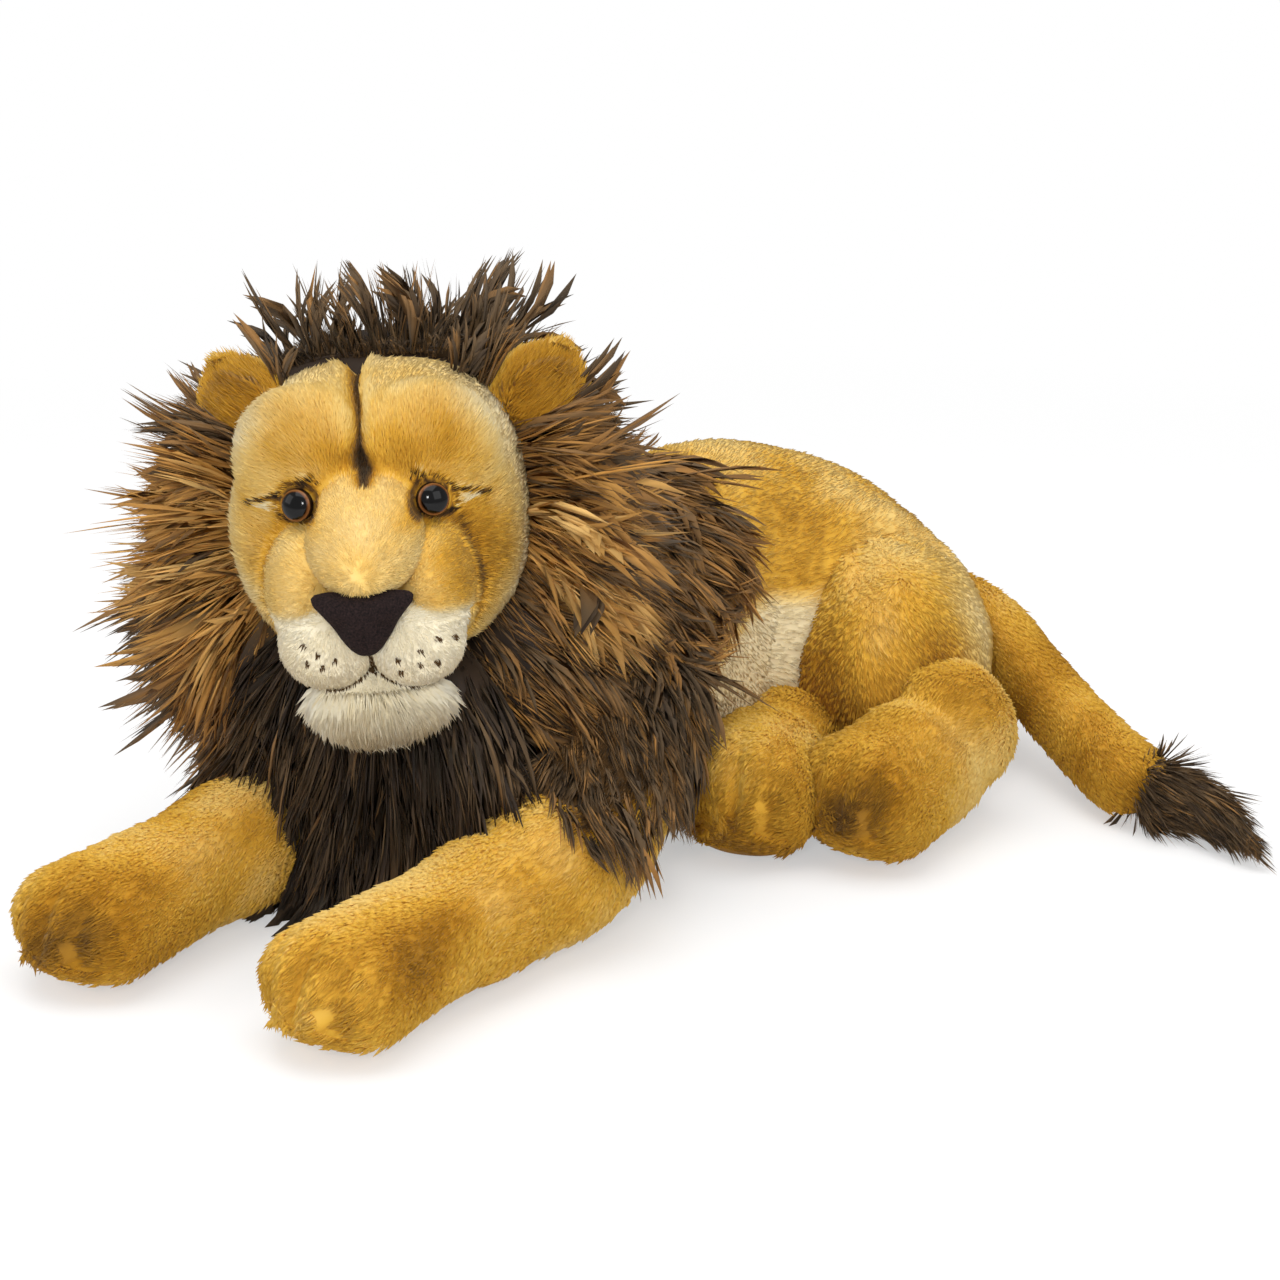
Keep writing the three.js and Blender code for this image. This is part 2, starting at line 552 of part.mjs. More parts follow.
const ringForm = {
  at: (distance) => {
    const tube = collar.tube / 2 + distance;
    const ring = new THREE.TorusGeometry(collar.width / 2, tube, turnCounts.ringSides, turnCounts.ringSteps);
    ring.scale(1, collar.height / collar.width, 1).rotateX(Math.PI / 2);
    const { position } = ring.attributes;
    for (let vertex = 0; vertex < position.count; vertex += 1) {
      const drop = Math.max(0, -position.getZ(vertex) / (collar.height / 2));
      position.setX(vertex, position.getX(vertex) * (1 + collar.flareShare * drop));
    }
    return solidFrom(ring.applyMatrix4(inHead(0, collar.back, -collar.below)));
  },
};
addPad(lion, 'mane_cape', placedForm(
  { stationShares: capeStationShares, size: cape, capShare: roundShares.torso }, medium,
  placeAt(cape.left, -cape.forward, cape.above)), darkMane);
addPad(headGroup, 'mane_collar', ringForm, caramelMane);
addPad(headGroup, 'mane_crest', placedForm(
  { stationShares: crestStationShares, size: crest, capShare: roundShares.torso }, small,
  combined(inHead(crown.toLeft, crest.back, crest.above), turned(0, 0, 90))), darkMane);
addPad(headGroup, 'mane_nape', placedForm(uprightPad(nape), medium,
  inHead(crown.toLeft, nape.back, nape.above)), darkMane);
addPad(lion, 'mane_bib', placedForm(
  { stationShares: bibStationShares, size: bib, capShare: roundShares.foot, up: AHEAD }, medium,
  placeAt(bib.left, -bib.forward, 0), { onFloor: true }), darkMane);

export default lion;
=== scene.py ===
import math

import bpy
import numpy as np
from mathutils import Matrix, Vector


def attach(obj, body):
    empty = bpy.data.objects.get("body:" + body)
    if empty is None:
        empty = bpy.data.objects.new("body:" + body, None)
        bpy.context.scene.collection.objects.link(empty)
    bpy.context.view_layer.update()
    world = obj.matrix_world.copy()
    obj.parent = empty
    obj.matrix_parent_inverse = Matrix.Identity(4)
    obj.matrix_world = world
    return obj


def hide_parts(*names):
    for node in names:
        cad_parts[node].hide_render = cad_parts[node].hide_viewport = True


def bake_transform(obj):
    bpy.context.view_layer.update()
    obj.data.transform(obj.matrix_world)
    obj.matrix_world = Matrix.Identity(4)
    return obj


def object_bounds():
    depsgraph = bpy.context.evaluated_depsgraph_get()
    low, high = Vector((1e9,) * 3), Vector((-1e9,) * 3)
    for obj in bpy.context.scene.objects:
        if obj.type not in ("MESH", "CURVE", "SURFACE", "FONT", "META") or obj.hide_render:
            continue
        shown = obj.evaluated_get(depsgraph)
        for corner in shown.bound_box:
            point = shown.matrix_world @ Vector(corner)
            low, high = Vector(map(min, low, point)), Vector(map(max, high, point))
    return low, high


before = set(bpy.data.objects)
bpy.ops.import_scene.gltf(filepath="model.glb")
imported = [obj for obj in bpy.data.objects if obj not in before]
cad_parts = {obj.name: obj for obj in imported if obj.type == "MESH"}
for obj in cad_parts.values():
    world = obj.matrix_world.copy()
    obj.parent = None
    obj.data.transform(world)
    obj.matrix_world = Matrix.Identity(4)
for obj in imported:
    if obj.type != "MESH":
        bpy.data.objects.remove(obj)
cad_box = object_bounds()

# A stuffed plush lion that lies on its belly with its head turned. Metres, with the floor at zero. Every
# soft piece is a rounded skin with its pile: each hair is a thin closed spike, rooted in the skin and laid
# along the nap. The first number of the map OFBake is a hair's tone and the second how far along it is.

chance = np.random.default_rng(4127)
UP = np.array((0.0, 0.0, 1.0))
AHEAD = np.array((0.0, -1.0, 0.0))
SIDES = (("left", 1), ("right", -1))
SECTION_POWER = 2.3
PILE_INSET = 0.0055
FLOOR_CLEAR, LOCK_CLEAR, SKIN_CLEAR = 0.0006, 0.0015, 0.003
ON_FLOOR = -0.0005
TONE_RANGE = 0.004, 0.99


# Nodes

def set_inputs(made, values):
    """Gives a node's named inputs their values; a name's underscores stand for spaces."""
    for name, value in values.items():
        made.inputs[name.replace("_", " ")].default_value = value


def node(tree, kind, mode=None, **values):
    """A new node of the tree, with its mode and the values of its inputs."""
    made = tree.nodes.new("ShaderNode" + kind)
    if mode:
        made.operation = mode
    set_inputs(made, values)
    return made


def join(tree, *links):
    """Links, each given as a node and its output, and a node and its input."""
    for source, output, target, entry in links:
        tree.links.new(source.outputs[output], target.inputs[entry])


def principled(name, **values):
    """A new material, its tree and its shader with the values of its inputs."""
    paint = bpy.data.materials.new(name)
    paint.use_nodes = True
    shader = paint.node_tree.nodes["Principled BSDF"]
    set_inputs(shader, values)
    return paint, paint.node_tree, shader


def linear(colour):
    """A colour of three numbers from 0 to 255 as the light that it stands for."""
    return tuple((c / 255 / 12.92) if c < 11 else ((c / 255 + 0.055) / 1.055) ** 2.4 for c in colour) + (1,)


def colour_range(tree, stops):
    """A range of colours over the stops, each a place from 0 to 1 with its colour."""
    made = node(tree, "ValToRGB")
    marks = made.color_ramp.elements
    while len(marks) < len(stops):
        marks.new(0.5)
    for mark, (at, colour) in zip(marks, stops):
        mark.position, mark.color = at, linear(colour)
    return made


def map_numbers(tree):
    """The two numbers of the map OFBake, as X and Y."""
    place, split = node(tree, "UVMap"), node(tree, "SeparateXYZ")
    place.uv_map = "OFBake"
    join(tree, (place, "UV", split, 0))
    return split


def speckled(tree, shader, stops, **values):
    """Fine noise over the object that picks the shader's colour from the stops."""
    place, noise, tones = node(tree, "TexCoord"), node(tree, "TexNoise", **values), colour_range(tree, stops)
    join(tree, (place, "Object", noise, "Vector"), (noise, "Fac", tones, "Fac"),
         (tones, "Color", shader, "Base Color"))
    return noise


# Camera, floor and light

VIEW_AZIMUTH, VIEW_ELEVATION, VIEW_DISTANCE = 35.0, 18.0, 1.95
VIEW_TARGET = (0.0, 0.0, 0.100)
LENS, SENSOR_WIDTH, CLIP_START, CLIP_END = 90.0, 36.0, 0.05, 60.0
WHITE, FLOOR_GREY, FILL_STRENGTH = (1, 1, 1, 1), (0.93, 0.93, 0.93, 1), 0.66
FLOOR_RADIUS, FLOOR_SIDES = 9, 96
LAMPS = {"lamp_overhead": ((0.2, -0.5, 2.4), (0, 0, 0.1), 2.2, 34.0),
         "lamp_front_left": ((-1.5, -1.9, 1.2), (0, -0.1, 0.12), 1.4, 9.0),
         "lamp_right": ((2.2, -0.6, 1.3), (0, 0, 0.12), 1.4, 10.0)}
FLOOR_FADE = {"From_Min": 0.35, "From_Max": 1.25, "To_Min": 0.45, "To_Max": 1.0}


def place_camera():
    """The camera stands at the photograph's angle, on a line through the target at that distance."""
    turn, rise = math.radians(VIEW_AZIMUTH), math.radians(VIEW_ELEVATION)
    back = Vector((math.sin(turn) * math.cos(rise), -math.cos(turn) * math.cos(rise), math.sin(rise)))
    lens = bpy.data.cameras.new("photo_camera")
    lens.lens, lens.sensor_width, lens.clip_start, lens.clip_end = LENS, SENSOR_WIDTH, CLIP_START, CLIP_END
    camera = bpy.data.objects.new("photo_camera", lens)
    camera.location = Vector(VIEW_TARGET) + back * VIEW_DISTANCE
    camera.rotation_mode = "QUATERNION"
    camera.rotation_quaternion = (-back).to_track_quat("-Z", "Y")
    bpy.context.scene.collection.objects.link(camera)
    bpy.context.scene.camera = camera


def softbox(name, place, aim, size, power):
    """A square lamp at a place, turned to face its aim."""
    light = bpy.data.lights.new(name, "AREA")
    light.shape, light.size, light.energy = "SQUARE", size, power
    lamp = bpy.data.objects.new(name, light)
    lamp.location = place
    lamp.rotation_mode = "QUATERNION"
    lamp.rotation_quaternion = (Vector(aim) - Vector(place)).to_track_quat("-Z", "Y")
    bpy.context.scene.collection.objects.link(lamp)


def light_studio():
    """A large soft lamp overhead, weaker ones to the sides and in front, and a pale world that is white to
    the camera."""
    for name, lamp in LAMPS.items():
        softbox(name, *lamp)
    softbox("lamp_front", (1.10, -1.85, 1.00), in_head(0, -0.1, 0.02), 0.28, 12.0)
    world = bpy.data.worlds.new("studio")
    bpy.context.scene.world = world
    world.use_nodes = True
    tree = world.node_tree
    tree.nodes.clear()
    shown = node(tree, "Background", Color=WHITE, Strength=1.0)
    fill = node(tree, "Background", Color=WHITE, Strength=FILL_STRENGTH)
    path, either = node(tree, "LightPath"), node(tree, "Math", "MAXIMUM")
    mixed, out = node(tree, "MixShader"), node(tree, "OutputWorld")
    join(tree, (path, "Is Camera Ray", either, 0), (path, "Is Transmission Ray", either, 1),
         (either, 0, mixed, "Fac"), (fill, 0, mixed, 1), (shown, 0, mixed, 2), (mixed, 0, out, "Surface"))


def lay_floor():
    """A flat disc whose middle takes the shadow and whose rim fades to plain white for the camera."""
    around = circle(FLOOR_SIDES)
    rim = FLOOR_RADIUS * vectors(np.cos(around), np.sin(around), 0.0)
    mesh = bpy.data.meshes.new("floor")
    mesh.from_pydata([tuple(p) for p in rim], [], [tuple(range(len(rim)))])
    floor = bpy.data.objects.new("floor", mesh)
    bpy.context.scene.collection.objects.link(floor)
    paint = bpy.data.materials.new("pale_floor")
    paint.use_nodes = True
    tree = paint.node_tree
    tree.nodes.clear()
    dull, glow = node(tree, "BsdfDiffuse", Color=FLOOR_GREY), node(tree, "Emission", Color=WHITE)
    where, reach, fade = node(tree, "TexCoord"), node(tree, "VectorMath", "LENGTH"), node(
        tree, "MapRange", **FLOOR_FADE)
    path, seen = node(tree, "LightPath"), node(tree, "Math", "MULTIPLY")
    mixed, out = node(tree, "MixShader"), node(tree, "OutputMaterial")
    join(tree, (where, "Object", reach, 0), (reach, "Value", fade, "Value"), (fade, "Result", seen, 0),
         (path, "Is Camera Ray", seen, 1), (seen, 0, mixed, "Fac"), (dull, 0, mixed, 1),
         (glow, 0, mixed, 2), (mixed, 0, out, "Surface"))
    mesh.materials.append(paint)


# Materials

def pile_group():
    """A hair's colour, taken down towards its root, where less light gets in."""
    group = bpy.data.node_groups.new("pile_shade", "ShaderNodeTree")
    for name, way, kind in (("Colour", "INPUT", "Color"), ("Along", "INPUT", "Float"),
                            ("Root Shade", "INPUT", "Float"), ("Reach", "INPUT", "Float"),
                            ("Colour", "OUTPUT", "Color")):
        group.interface.new_socket(name=name, in_out=way, socket_type="NodeSocket" + kind)
    start, end = group.nodes.new("NodeGroupInput"), group.nodes.new("NodeGroupOutput")
    rise, shade = node(group, "MapRange"), node(group, "VectorMath", "SCALE")
    join(group, (start, "Along", rise, "Value"), (start, "Reach", rise, "From Max"),
         (start, "Root Shade", rise, "To Min"), (start, "Colour", shade, 0),
         (rise, "Result", shade, "Scale"), (shade, "Vector", end, "Colour"))
    return group


PILE_SHADE = pile_group()


def pile_material(name, stops, root_shade, reach, roughness, sheen, sheen_tint):
    """Hair whose colour runs over the stops by its tone."""
    paint, tree, shader = principled(
        name, Roughness=roughness, Sheen_Weight=sheen, Sheen_Roughness=0.5, Sheen_Tint=linear(sheen_tint),
        Specular_IOR_Level=0.25)
    split, tones, shade = map_numbers(tree), colour_range(tree, stops), node(tree, "Group")
    shade.node_tree = PILE_SHADE
    set_inputs(shade, {"Root Shade": root_shade, "Reach": reach})
    join(tree, (split, "X", tones, "Fac"), (tones, "Color", shade, "Colour"), (split, "Y", shade, "Along"),
         (shade, "Colour", shader, "Base Color"))
    return paint


PLUSH_STOPS = (
    (0.0, (24, 17, 11)), (0.14, (104, 71, 26)), (0.30, (188, 134, 29)), (0.44, (223, 173, 60)),
    (0.60, (240, 204, 120)), (0.78, (244, 220, 162)), (0.90, (240, 226, 190)), (1.0, (244, 236, 214)))
MANE_STOPS = ((0.0, (22, 14, 8)), (0.22, (52, 38, 25)), (0.42, (108, 85, 57)), (0.6, (166, 117, 58)),
              (0.8, (212, 155, 76)), (1.0, (240, 194, 118)))
EYE_STOPS = ((0.0, (1, 1, 1)), (0.77, (2, 1, 1)), (0.82, (92, 54, 28)), (0.90, (136, 90, 50)),
             (0.94, (30, 18, 12)), (1.0, (12, 9, 8)))
VELOUR_STOPS = (0.3, (12, 8, 8)), (0.75, (46, 33, 32))
WASHER_STOPS = (0.0, (206, 206, 198)), (1.0, (226, 226, 220))
plush = pile_material("short_plush", PLUSH_STOPS, 0.86, 0.7, 0.85, 0.10, (255, 236, 200))
mane_hair = pile_material("long_mane", MANE_STOPS, 0.82, 0.30, 0.6, 0.06, (255, 232, 200))


def moulded(name, roughness, gloss):
    """Glossy plastic whose colour runs from the middle of the eye to its rim by the map's first number."""
    paint, tree, shader = principled(name, Roughness=roughness, Specular_IOR_Level=gloss)
    split, rings = map_numbers(tree), colour_range(tree, EYE_STOPS)
    join(tree, (split, "X", rings, "Fac"), (rings, "Color", shader, "Base Color"))
    return paint


def velour():
    """Dark velour: a fine nap as small bumps, with a little change of tone over it."""
    paint, tree, shader = principled("nose_velour", Roughness=0.85, Sheen_Weight=0.06, Sheen_Roughness=0.4,
                                     Specular_IOR_Level=0.12, Sheen_Tint=linear((120, 92, 84)))
    nap = speckled(tree, shader, VELOUR_STOPS, Scale=950, Detail=3)
    bump = node(tree, "Bump", Strength=0.6, Distance=0.0014)
    join(tree, (nap, "Fac", bump, "Height"), (bump, "Normal", shader, "Normal"))
    return paint


def washer_finish():
    """Milky moulded plastic with a faint grain."""
    paint, tree, shader = principled("washer_plastic", Roughness=0.4)
    speckled(tree, shader, WASHER_STOPS, Scale=900)
    return paint


# Surfaces

def unit(given):
    """The vectors with a length of one."""
    return given / np.maximum(np.linalg.norm(given, axis=-1, keepdims=True), 1e-12)


def vectors(*parts):
    """Vectors from their parts, each a number or an array."""
    return np.stack(np.broadcast_arrays(*parts), -1)


def circle(sides):
    """Angles evenly round a circle."""
    return np.linspace(0, 2 * np.pi, sides + 1)[:-1]


def distance(places, point):
    """How far places lie from a point."""
    return np.linalg.norm(places - point, axis=-1)


def ramp(value, start, run):
    """A straight rise from 0 at the start to 1 a run further on; with a run below zero it rises to the
    other side."""
    return np.clip((value - start) / run, 0, 1)


def turned(x, y, z):
    """The turn by z degrees about the upright axis, after x about the sideways and y about the forward."""
    (cx, sx), (cy, sy), (cz, sz) = ((math.cos(math.radians(a)), math.sin(math.radians(a))) for a in (x, y, z))
    about_x = np.array(((1, 0, 0), (0, cx, -sx), (0, sx, cx)))
    about_y = np.array(((cy, 0, sy), (0, 1, 0), (-sy, 0, cy)))
    about_z = np.array(((cz, -sz, 0), (sz, cz, 0), (0, 0, 1)))
    return about_z @ about_x @ about_y


def lattice(cells):
    """Random numbers at whole places, found from the place alone, from -1 to 1."""
    x, y, z = (cells[..., i].astype(np.int64) for i in range(3))
    mixed = (x * 73856093) ^ (y * 19349663) ^ (z * 83492791)
    mixed = (mixed ^ (mixed >> 13)) * 1274126177 & 0x7FFFFFFF
    mixed = (mixed ^ (mixed >> 15)) * 668265263 & 0x7FFFFFFF
    return (mixed % 20011) / 10005.0 - 1


def drift(places, size, seed):
    """Smooth noise of patches about `size` across: the lattice's numbers, mixed with smooth steps."""
    scaled = np.asarray(places) / size + 40.3 + 17.7 * seed
    low = np.floor(scaled)
    part = scaled - low
    part = part * part * (3 - 2 * part)
    total = np.zeros(scaled.shape[:-1])
    for corner in np.ndindex(2, 2, 2):
        total += np.prod(np.abs(1 - np.array(corner) - part), -1) * lattice(low + corner)
    return total


def drifts(places, size, seed):
    """Three smooth noises of one size, as vectors."""
    return vectors(*(drift(places, size, seed + k) for k in range(3)))


def patches(places, *layers):
    """Smooth noises added up, each given as its strength, size and seed."""
    return sum(strength * drift(places, size, seed) for strength, size, seed in layers)


def near(value, spread):
    """A bell curve about zero: one at zero, and small past twice the spread."""
    return np.exp(-(value / spread) ** 2)


def smooth_line(stations, at):
    """The centripetal Catmull-Rom curve through the stations, at shares of its run from 0 to 1."""
    stations = np.asarray(stations, float)
    last = len(stations) - 1
    piece = np.clip((at * last).astype(int), 0, last - 1)
    step = (at * last - piece)[:, None]
    more = np.vstack([2 * stations[0] - stations[1], stations, 2 * stations[-1] - stations[-2]])
    a, b, c, d = (more[piece + k] for k in range(4))
    gap = [np.maximum(np.sum((q - p) ** 2, -1) ** 0.25, 1e-5)[:, None] for p, q in ((a, b), (b, c), (c, d))]
    leave = ((b - a) / gap[0] - (c - a) / (gap[0] + gap[1]) + (c - b) / gap[1]) * gap[1]
    arrive = ((c - b) / gap[1] - (d - b) / (gap[1] + gap[2]) + (d - c) / gap[2]) * gap[1]
    return ((2 * step**3 - 3 * step**2 + 1) * b + (step**3 - 2 * step**2 + step) * leave
            + (3 * step**2 - 2 * step**3) * c + (step**3 - step**2) * arrive)


def face_cross(places, faces):
    """Twice each face's area, along its normal."""
    a, b, c = (places[faces[:, k]] for k in range(3))
    return np.cross(b - a, c - a)


def normals_of(places, faces):
    """The normal at each vertex: the mean of its faces' normals, by area."""
    across = face_cross(places, faces)
    total = np.zeros_like(places)
    for corner in range(3):
        for axis in range(3):
            total[:, axis] += np.bincount(faces[:, corner], across[:, axis], len(places))
    return unit(total)


def band_faces(rows, sides, loop=False):
    """Two faces for each cell between rings of vertices; in a loop the last ring meets the first."""
    row, side = np.meshgrid(np.arange(rows if loop else rows - 1), np.arange(sides), indexing="ij")
    after_row, after_side = (row + 1) % rows, (side + 1) % sides
    p, q = row * sides + side, row * sides + after_side
    r, s = after_row * sides + side, after_row * sides + after_side
    return np.concatenate([vectors(p, q, r).reshape(-1, 3), vectors(q, s, r).reshape(-1, 3)])


def closed_faces(rows, sides):
    """Faces over a first pole, rows of vertices and a last pole."""
    ring = np.arange(sides)
    turn = (ring + 1) % sides
    base = 1 + (rows - 1) * sides
    return np.concatenate([vectors(0, 1 + turn, 1 + ring), 1 + band_faces(rows, sides),
                           vectors(base + ring, base + turn, base + sides)])


def facing_out(places, faces):
    """The faces, all turned over where they enclose a volume below zero."""
    volume = np.sum((places[faces[:, 0]] - places.mean(0)) * face_cross(places, faces))
    return faces[:, ::-1] if volume < 0 else faces


class Skin:
    """A closed surface: its vertices, with their normals, and its faces."""

    def __init__(self, places, faces):
        self.places, self.faces, self.normals = places, faces, normals_of(places, faces)


LINE_POINTS, CAP_ROWS, SAMPLES, AT_ONCE = 1201, 7, np.linspace(0.01, 0.99, 40), 20000
LIFT_GRID, LINE_STEP, NEAR_ROOM, PAST_WEIGHT = (40, 48), 1e-3, 0.05, 1.4


class StuffedForm:
    """A rounded section carried along a smooth line and closed by a round cap at each end. A station
    gives the line's place and the section's two widths, as shares of the form's own sizes. The section
    holds |x|^p + |y|^p = 1, and within a cap it shrinks as the side of a circle."""

    def __init__(self, stations, length, width, height, cap, thick=None, side=1, up=UP,
                 turn=np.eye(3), place=(0, 0, 0), lift_to=None):
        along, aside, above, wide, tall = np.asarray(stations, float).T
        self.line = vectors(side * aside * width, along * length, above * height)
        self.girth = vectors(wide * width, tall * (thick or height)) / 2
        run = np.linspace(0, 1, LINE_POINTS)
        steps = np.diff(smooth_line(self.line, run), axis=0)
        reach = np.concatenate([[0], np.cumsum(np.linalg.norm(steps, axis=1))])
        self.run_at = lambda share: np.interp(share, reach / reach[-1], run)
        self.cap, self.up, self.turn, self.place = cap, up, turn, np.array(place, float)
        self.samples = self.sections(SAMPLES)
        if lift_to is not None:
            self.place[2] += lift_to - self.skin(*LIFT_GRID, inset=0).places[:, 2].min()

    def in_row(self, places):
        """Places of the form's own frame in the row frame."""
        return places @ self.turn.T + self.place

    def own(self, points):
        """Points of the row frame in the form's own frame."""
        return (points - self.place) @ self.turn

    def sections(self, share):
        """The line's place, the two section axes, the widths and the cap's swell at shares of the line."""
        run = self.run_at(share)
        centre = smooth_line(self.line, run)
        ahead = unit(smooth_line(self.line, np.minimum(run + LINE_STEP, 1))
                     - smooth_line(self.line, np.maximum(run - LINE_STEP, 0)))
        across = unit(np.cross(self.up, ahead))
        tall = np.cross(ahead, across)
        edge = np.clip(np.minimum(share, 1 - share) / self.cap, 0, 1)
        swell = np.sqrt(np.maximum(1 - (1 - edge) ** 2, 0))
        return centre, across, tall, smooth_line(self.girth, run), swell

    def skin(self, rows, sides, inset=PILE_INSET, shaping=None, floor=None):
        """The form's surface on a grid, moved in by the inset and out by what the shaping gives."""
        bend = (1 - np.cos(np.linspace(0, np.pi / 2, CAP_ROWS + 1)[1:])) * self.cap
        middle = np.linspace(self.cap, 1 - self.cap, max(rows - 2 * CAP_ROWS, 3))[1:-1]
        share = np.concatenate([bend, middle, 1 - bend[::-1]])
        centre, across, tall, girth, swell = self.sections(share)
        cosine, sine = np.cos(circle(sides)), np.sin(circle(sides))
        stretch = (np.abs(cosine) ** SECTION_POWER + np.abs(sine) ** SECTION_POWER) ** (-1 / SECTION_POWER)
        rings = (centre[:, None]
                 + (swell * girth[:, 0])[:, None, None] * (stretch * cosine)[None, :, None] * across[:, None]
                 + (swell * girth[:, 1])[:, None, None] * (stretch * sine)[None, :, None] * tall[:, None])
        ends = smooth_line(self.line, np.array((0.0, 1.0)))
        places = np.concatenate([ends[:1], rings.reshape(-1, 3), ends[1:]])
        faces = closed_faces(len(share), sides)
        normals = normals_of(places, faces)
        out = np.full(len(places), -inset)
        if shaping is not None:
            out += shaping(places, normals, np.concatenate([[0], np.repeat(share, sides), [1]]))
        places = self.in_row(places + out[:, None] * normals)
        if floor is not None:
            places[:, 2] = np.maximum(places[:, 2], floor)
        return Skin(places, faces)

    def close_to(self, points, room=0.0):
        """Some at once: the numbers of points near the form, and their gaps from its sections' centres."""
        centre, _, _, girth, _ = self.samples
        local, room = self.own(points), room + girth.max()
        close = np.where(np.all((local > centre.min(0) - room) & (local < centre.max(0) + room), axis=1))[0]
        for start in range(0, len(close), AT_ONCE):
            chosen = close[start:start + AT_ONCE]
            yield chosen, local[chosen, None] - centre[None]

    def apart(self, points):
        """About how far points lie outside the form, below zero inside, and 1 far from it."""
        _, across, tall, girth, swell = self.samples
        apart = np.ones(len(points))
        for chosen, gap in self.close_to(points, NEAR_ROOM):
            x, y = (np.abs(np.sum(gap * axis, -1)) / np.maximum(girth[:, k] * swell, 1e-3)
                    for k, axis in enumerate((across, tall)))
            past = np.abs(np.sum(gap * unit(np.cross(across, tall)), -1))
            level = (x**SECTION_POWER + y**SECTION_POWER) ** (1 / SECTION_POWER) - 1
            apart[chosen] = (level * girth.min(1) * swell + PAST_WEIGHT * past).min(1)
        return apart

    def holds(self, points, margin=0.0):
        """Whether points lie deeper than the margin in the form: the nearest section's own equation."""
        _, across, tall, girth, swell = self.samples
        margin = np.broadcast_to(margin, len(points))
        inside = np.zeros(len(points), bool)
        for chosen, gap in self.close_to(points):
            nearest = np.argmin(np.sum(gap**2, -1), 1)
            gap = gap[np.arange(len(chosen)), nearest]
            size = (girth * swell[:, None])[nearest] - margin[chosen, None]
            x, y = (np.abs(np.sum(gap * axis[nearest], -1)) / np.maximum(size[:, k], 1e-4)
                    for k, axis in enumerate((across, tall)))
            inside[chosen] = x**SECTION_POWER + y**SECTION_POWER < 1
        return inside


# Hair

def roots_on(skin, count, keep=None):
    """Roots spread evenly by area: a face is drawn by its area and a place in it at random. `keep` gives
    the share of roots to keep at places."""
    area = np.linalg.norm(face_cross(skin.places, skin.faces), axis=1)
    drawn = np.searchsorted(np.cumsum(area) / area.sum(), chance.random(count))
    drawn = np.minimum(drawn, len(skin.faces) - 1)
    a, b = chance.random((2, count, 1))
    fold = a + b > 1
    a, b = np.where(fold, 1 - a, a), np.where(fold, 1 - b, b)
    first, second, third = skin.faces[drawn].T
    mix = lambda values: values[first] * (1 - a - b) + values[second] * a + values[third] * b
    places, normals = mix(skin.places), unit(mix(skin.normals))
    if keep is not None:
        kept = chance.random(count) < keep(places)
        places, normals = places[kept], normals[kept]
    return places, normals


def along_surface(vectors, normals):
    """The part of each vector that lies along the surface, at a length of one."""
    flat = vectors - np.sum(vectors * normals, -1, keepdims=True) * normals
    return unit(flat + 1e-9)


SWIRL_SIZE, SWIRL, SWEEP_SIZE, SWEEP, STRAY = 0.012, 0.09, 0.045, 0.38, 0.10
STAND_PATCHY, STAND_UNEVEN, LENGTH_UNEVEN, TWIST = 0.12, 0.16, 0.18, 0.35
ROOT_DEPTH, KNEE_AT, KNEE_BEND = 0.0012, 0.52, (0.35, -0.25)
SPIKE_FACES = np.array(((0, 1, 2), (1, 3, 2), (3, 0, 2), (0, 3, 1)))
SPIKE_TONES, SPIKE_ALONG = np.array((-0.003, 0.003, 0.0, 0.001)), (0.02, 0.03, 0.55, 0.99)


def short_hairs(places, normals, nap, length, width, tone, stand):
    """A closed spike of four faces for each root: two corners at the root, a knee part way up and the
    tip. It leaves the skin at a slant and then bends towards the nap."""
    count = len(places)
    nap = (nap + SWIRL * drifts(places, SWIRL_SIZE, 1) + SWEEP * drifts(places, SWEEP_SIZE, 15)
           + STRAY * chance.normal(size=(count, 3)))
    nap = along_surface(nap, normals)
    uneven = STAND_PATCHY * drift(places, SWIRL_SIZE, 5) + STAND_UNEVEN * chance.normal(size=count)
    stand = stand * (1 + uneven)[:, None]
    length = (length * (1 + LENGTH_UNEVEN * chance.normal(size=count)).clip(0.5, 1.5))[:, None]
    wide = unit(np.cross(nap, normals) + TWIST * chance.normal(size=(count, 3))) * width / 2
    base = places - ROOT_DEPTH * normals
    knee = base + KNEE_AT * length * unit(nap + (stand + KNEE_BEND[0]) * normals) + 0.25 * width * normals
    tip = knee + 0.5 * length * unit(nap + (stand + KNEE_BEND[1]) * normals)
    vertices = np.stack([base - wide, base + wide, knee, tip], 1)
    vertices[..., 2] = np.maximum(vertices[..., 2], FLOOR_CLEAR)
    faces = (4 * np.arange(count)[:, None, None] + SPIKE_FACES).reshape(-1, 3)
    tones = np.clip(tone, *TONE_RANGE)[:, None] + SPIKE_TONES
    return vertices.reshape(-1, 3), faces, vectors(tones, SPIKE_ALONG).reshape(-1, 2)


HAIR_STEPS = 6
HAIR_RUN = np.linspace(0, 1, HAIR_STEPS)
TAPER_POWER = 0.55


